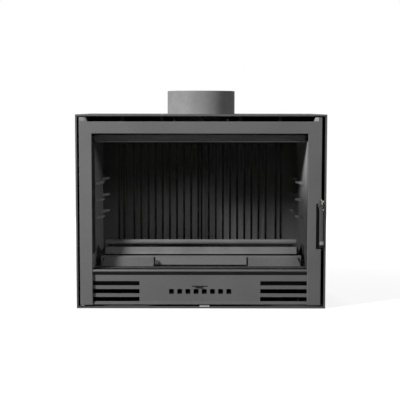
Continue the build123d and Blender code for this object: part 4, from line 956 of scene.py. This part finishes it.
def laid_rows(maker, shape, axis, face, rows):
    """The shape, made with +Z up at the origin, at every screw of one sheet."""
    laid = []
    for (across, height), run, count in rows:
        line = maker.node("GeometryNodeMeshLine", {"mode": "END_POINTS"},
                          {"Count": count, "Start Location": (0, -run / 2, 0),
                           "Offset": (0, run / 2, 0)})
        heads = maker.node("GeometryNodeInstanceOnPoints", None,
                           {"Points": line, "Instance": shape})
        middle = (face, across, height) if axis == "x" else (across, face, height)
        laid.append(maker.node("GeometryNodeTransform", None,
                               {"Geometry": heads, "Translation": middle,
                                "Rotation": facing(axis, face)}))
    return laid


def disc(maker, radius, depth, sides, top):
    """Short upright cylinder whose top is at this height."""
    drum = maker.node("GeometryNodeMeshCylinder", None,
                      {"Vertices": sides, "Radius": radius, "Depth": depth})
    return maker.node("GeometryNodeTransform", None,
                      {"Geometry": drum, "Translation": (0, 0, top - depth / 2)})


def socket_head(maker):
    """A flat screw head with a hexagon socket sunk into it."""
    rim = maker.given("Head radius", "Float", SCREW_RADIUS)
    hexagon = maker.given("Socket radius", "Float", SOCKET_RADIUS)
    blank = disc(maker, rim, SCREW_THICK, ROUND_SIDES, -SCREW_SUNK)
    hole = disc(maker, hexagon, SCREW_THICK, SOCKET_SIDES, SCREW_THICK / 4)
    return maker.node("GeometryNodeMeshBoolean", {"operation": "DIFFERENCE"},
                      {"Mesh 1": blank, "Mesh 2": hole}, output="Mesh")


# %% Work on a copy of a CAD mesh
WELD = 1e-6
FLAT = math.radians(0.5)


def merged_copy(node):
    """The CAD node's mesh as one closed skin with whole flat faces."""
    mesh = nodes[node].data.copy()
    skin = bmesh.new()
    skin.from_mesh(mesh)
    bmesh.ops.remove_doubles(skin, verts=skin.verts, dist=WELD)
    bmesh.ops.dissolve_limit(skin, angle_limit=FLAT, verts=skin.verts, edges=skin.edges)
    bmesh.ops.recalc_face_normals(skin, faces=skin.faces)
    skin.to_mesh(mesh)
    skin.free()
    return mesh


def applied(mesh, *modifiers):
    """The mesh after these modifiers, each a type and its settings."""
    host = bpy.data.objects.new("host", mesh)
    bpy.context.scene.collection.objects.link(host)
    for kind, settings in modifiers:
        modifier = host.modifiers.new(kind.lower(), kind)
        for name, value in settings.items():
            setattr(modifier, name, value)
    seen = host.evaluated_get(bpy.context.evaluated_depsgraph_get())
    result = bpy.data.meshes.new_from_object(seen)
    bpy.data.objects.remove(host)
    return result


def minus(node, tool_mesh):
    """The CAD node's mesh with the tool cut out of it."""
    tool = bpy.data.objects.new("tool", tool_mesh)
    bpy.context.scene.collection.objects.link(tool)
    cut = applied(merged_copy(node), ("BOOLEAN", {"operation": "DIFFERENCE", "object": tool}))
    bpy.data.objects.remove(tool)
    return cut


# %% Cut the pockets and set the screws
def pockets(axis, face, rows):
    maker = Maker("pockets")
    radius = maker.given("Pocket radius", "Float", POCKET_RADIUS)
    drum = disc(maker, radius, 2 * POCKET_DEPTH, ROUND_SIDES, POCKET_DEPTH)
    return baked(maker, maker.joined(*laid_rows(maker, drum, axis, face, rows)), casing_paint)


screws = Maker("screws")
screw = socket_head(screws)
screw_rows = []
for sheet, (axis, face, rows) in SCREWED.items():
    screw_rows += laid_rows(screws, screw, axis, face, rows)
    drilled = minus(sheet, pockets(axis, face, rows))
    piece(sheet + "_drilled", drilled, "insert_body", sheet)
heads = baked(screws, screws.joined(*screw_rows), zinc_steel)
piece("casing_screws", heads, "insert_body")

# %% [markdown]
# ## Rounded castings
# Cast edges are never sharp: the sand mould leaves them soft, and a soft edge catches a
# thin line of light. The door, the hearth plate, the retainer's slat, the lever and the
# hook are merged copies of their CAD meshes with a narrow Bevel, which is quicker and
# truer than modelling them again.

# %% Soften the edges
SHARP = math.radians(35)       # edges that turn more than this are softened
SOFTENED = {                   # body, slot and width of the soft edge
    "door_frame": ("door", "door_paint", 0.0007),
    "hearth_plate": ("insert_body", "hearth_iron", 0.0008),
    "retainer_slat": ("insert_body", "hearth_iron", 0.0006),
    "handle_lever": ("handle", "handle_iron", 0.0006),
    "latch_hook": ("handle", "hook_chrome", 0.0009),
}


def softened(node, width):
    bevel = {"width": width, "segments": 2, "limit_method": "ANGLE", "angle_limit": SHARP}
    return applied(merged_copy(node), ("BEVEL", bevel))


for node, (body, slot, width) in SOFTENED.items():
    piece(node + "_cast", softened(node, width), body, node)

# %% [markdown]
# ## Openings of the vent panel
# The panel's slots and air ports were punched with a little room below, so their lower
# lips sit under those of the solid, and the ports are wider. One node tree sets out both
# punches in rows: a plain block for the slots, and a rounded square, swept along the
# depth, for the ports. The merged sheet is then cut with them.

# %% Sizes of the punches
PANEL_DEPTH = (-0.2225, -0.2180)
SLOT_ENDS = {"Left": (-0.3117, -0.1733), "Right": (0.1671, 0.3055)}
SLOTS = 3                      # in each stack
LOWEST_SLOT = 0.0268           # its middle
SLOT_PITCH = 0.0226
SLOT_DROP = 0.0077             # from a slot's middle to its new lower lip
PORTS = 8
PORT_PITCH = 0.0231
PORT_MIDDLE = (-0.0020, 0.0468)
PORT_SIZE = 0.0142
PORT_CORNER = 0.0026
PORT_CORNER_STEPS = 3


# %% Rows of punches
def port_punch(maker, stroke):
    """A square bar with rounded corners, as long as the stroke, along the depth."""
    size = maker.given("Port size", "Float", PORT_SIZE)
    corner = maker.given("Port corner", "Float", PORT_CORNER)
    square = maker.node("GeometryNodeCurvePrimitiveQuadrilateral", None,
                        {"Width": size, "Height": size})
    rounded = maker.node("GeometryNodeFilletCurve", {"mode": "POLY"},
                         {"Curve": square, "Radius": corner, "Count": PORT_CORNER_STEPS})
    path = maker.node("GeometryNodeCurvePrimitiveLine", None,
                      {"Start": (0, -stroke / 2, 0), "End": (0, stroke / 2, 0)})
    return maker.node("GeometryNodeCurveToMesh", None,
                      {"Curve": path, "Profile Curve": rounded, "Fill Caps": True})


def row(maker, shape, start, step, count):
    """Copies of the shape, each one step from the last."""
    line = maker.node("GeometryNodeMeshLine", {"mode": "OFFSET"},
                      {"Count": count, "Start Location": start, "Offset": step})
    return maker.node("GeometryNodeInstanceOnPoints", None, {"Points": line, "Instance": shape})


# %% Punch the vent panel
def punches():
    maker = Maker("punches")
    front, back = PANEL_DEPTH
    depth = (front + back) / 2
    rows = []
    for side, (left, right) in SLOT_ENDS.items():
        size = maker.given(side + " slot", "Vector", (right - left, back - front, SLOT_DROP))
        block = maker.node("GeometryNodeMeshCube", None, {"Size": size})
        start = ((left + right) / 2, depth, LOWEST_SLOT - SLOT_DROP / 2)
        rows.append(row(maker, block, start, (0, 0, SLOT_PITCH), SLOTS))
    middle, height = PORT_MIDDLE
    start = (middle - PORT_PITCH * (PORTS - 1) / 2, depth, height)
    rows.append(row(maker, port_punch(maker, back - front), start, (PORT_PITCH, 0, 0), PORTS))
    return baked(maker, maker.joined(*rows), door_paint)


piece("vent_panel_punched", minus("vent_panel", punches()), "door", "vent_panel")

# %% [markdown]
# ## Strip under the vent panel
# A half-round strip closes the foot of the panel between the door's two stiles. It is
# one profile carried along a straight line, so it is built directly from bmesh: a ring
# of points at each end, the faces between the rings, and a cap on each.

# %% Strip under the vent panel
STRIP_ENDS = (-0.3040, 0.2978)
STRIP_DEPTH = (-0.2240, -0.2190)
STRIP_HEIGHT = (0.0098, 0.0140)
STRIP_BULGE = 0.002
STRIP_STEPS = 6


def strip_profile():
    """The strip's outline as (y, z) points, from its round front to its flat back."""
    (front, back), (low, high) = STRIP_DEPTH, STRIP_HEIGHT
    middle, half = (low + high) / 2, (high - low) / 2
    turns = [QUARTER + math.pi * k / STRIP_STEPS for k in range(STRIP_STEPS + 1)]
    nose = [(front + STRIP_BULGE + STRIP_BULGE * math.cos(turn), middle + half * math.sin(turn))
            for turn in turns]
    return nose + [(back, low), (back, high)]


def strip_mesh():
    strip = bmesh.new()
    left, right = ([strip.verts.new((x, y, z)) for y, z in strip_profile()]
                   for x in STRIP_ENDS)
    for k in range(len(left)):
        after = (k + 1) % len(left)
        strip.faces.new((left[k], left[after], right[after], right[k]))
    strip.faces.new(left)
    strip.faces.new(reversed(right))
    bmesh.ops.recalc_face_normals(strip, faces=strip.faces)
    mesh = bpy.data.meshes.new("panel_bead")
    strip.to_mesh(mesh)
    strip.free()
    mesh.materials.append(door_paint.material)
    return mesh


piece("panel_bead", strip_mesh(), "door")
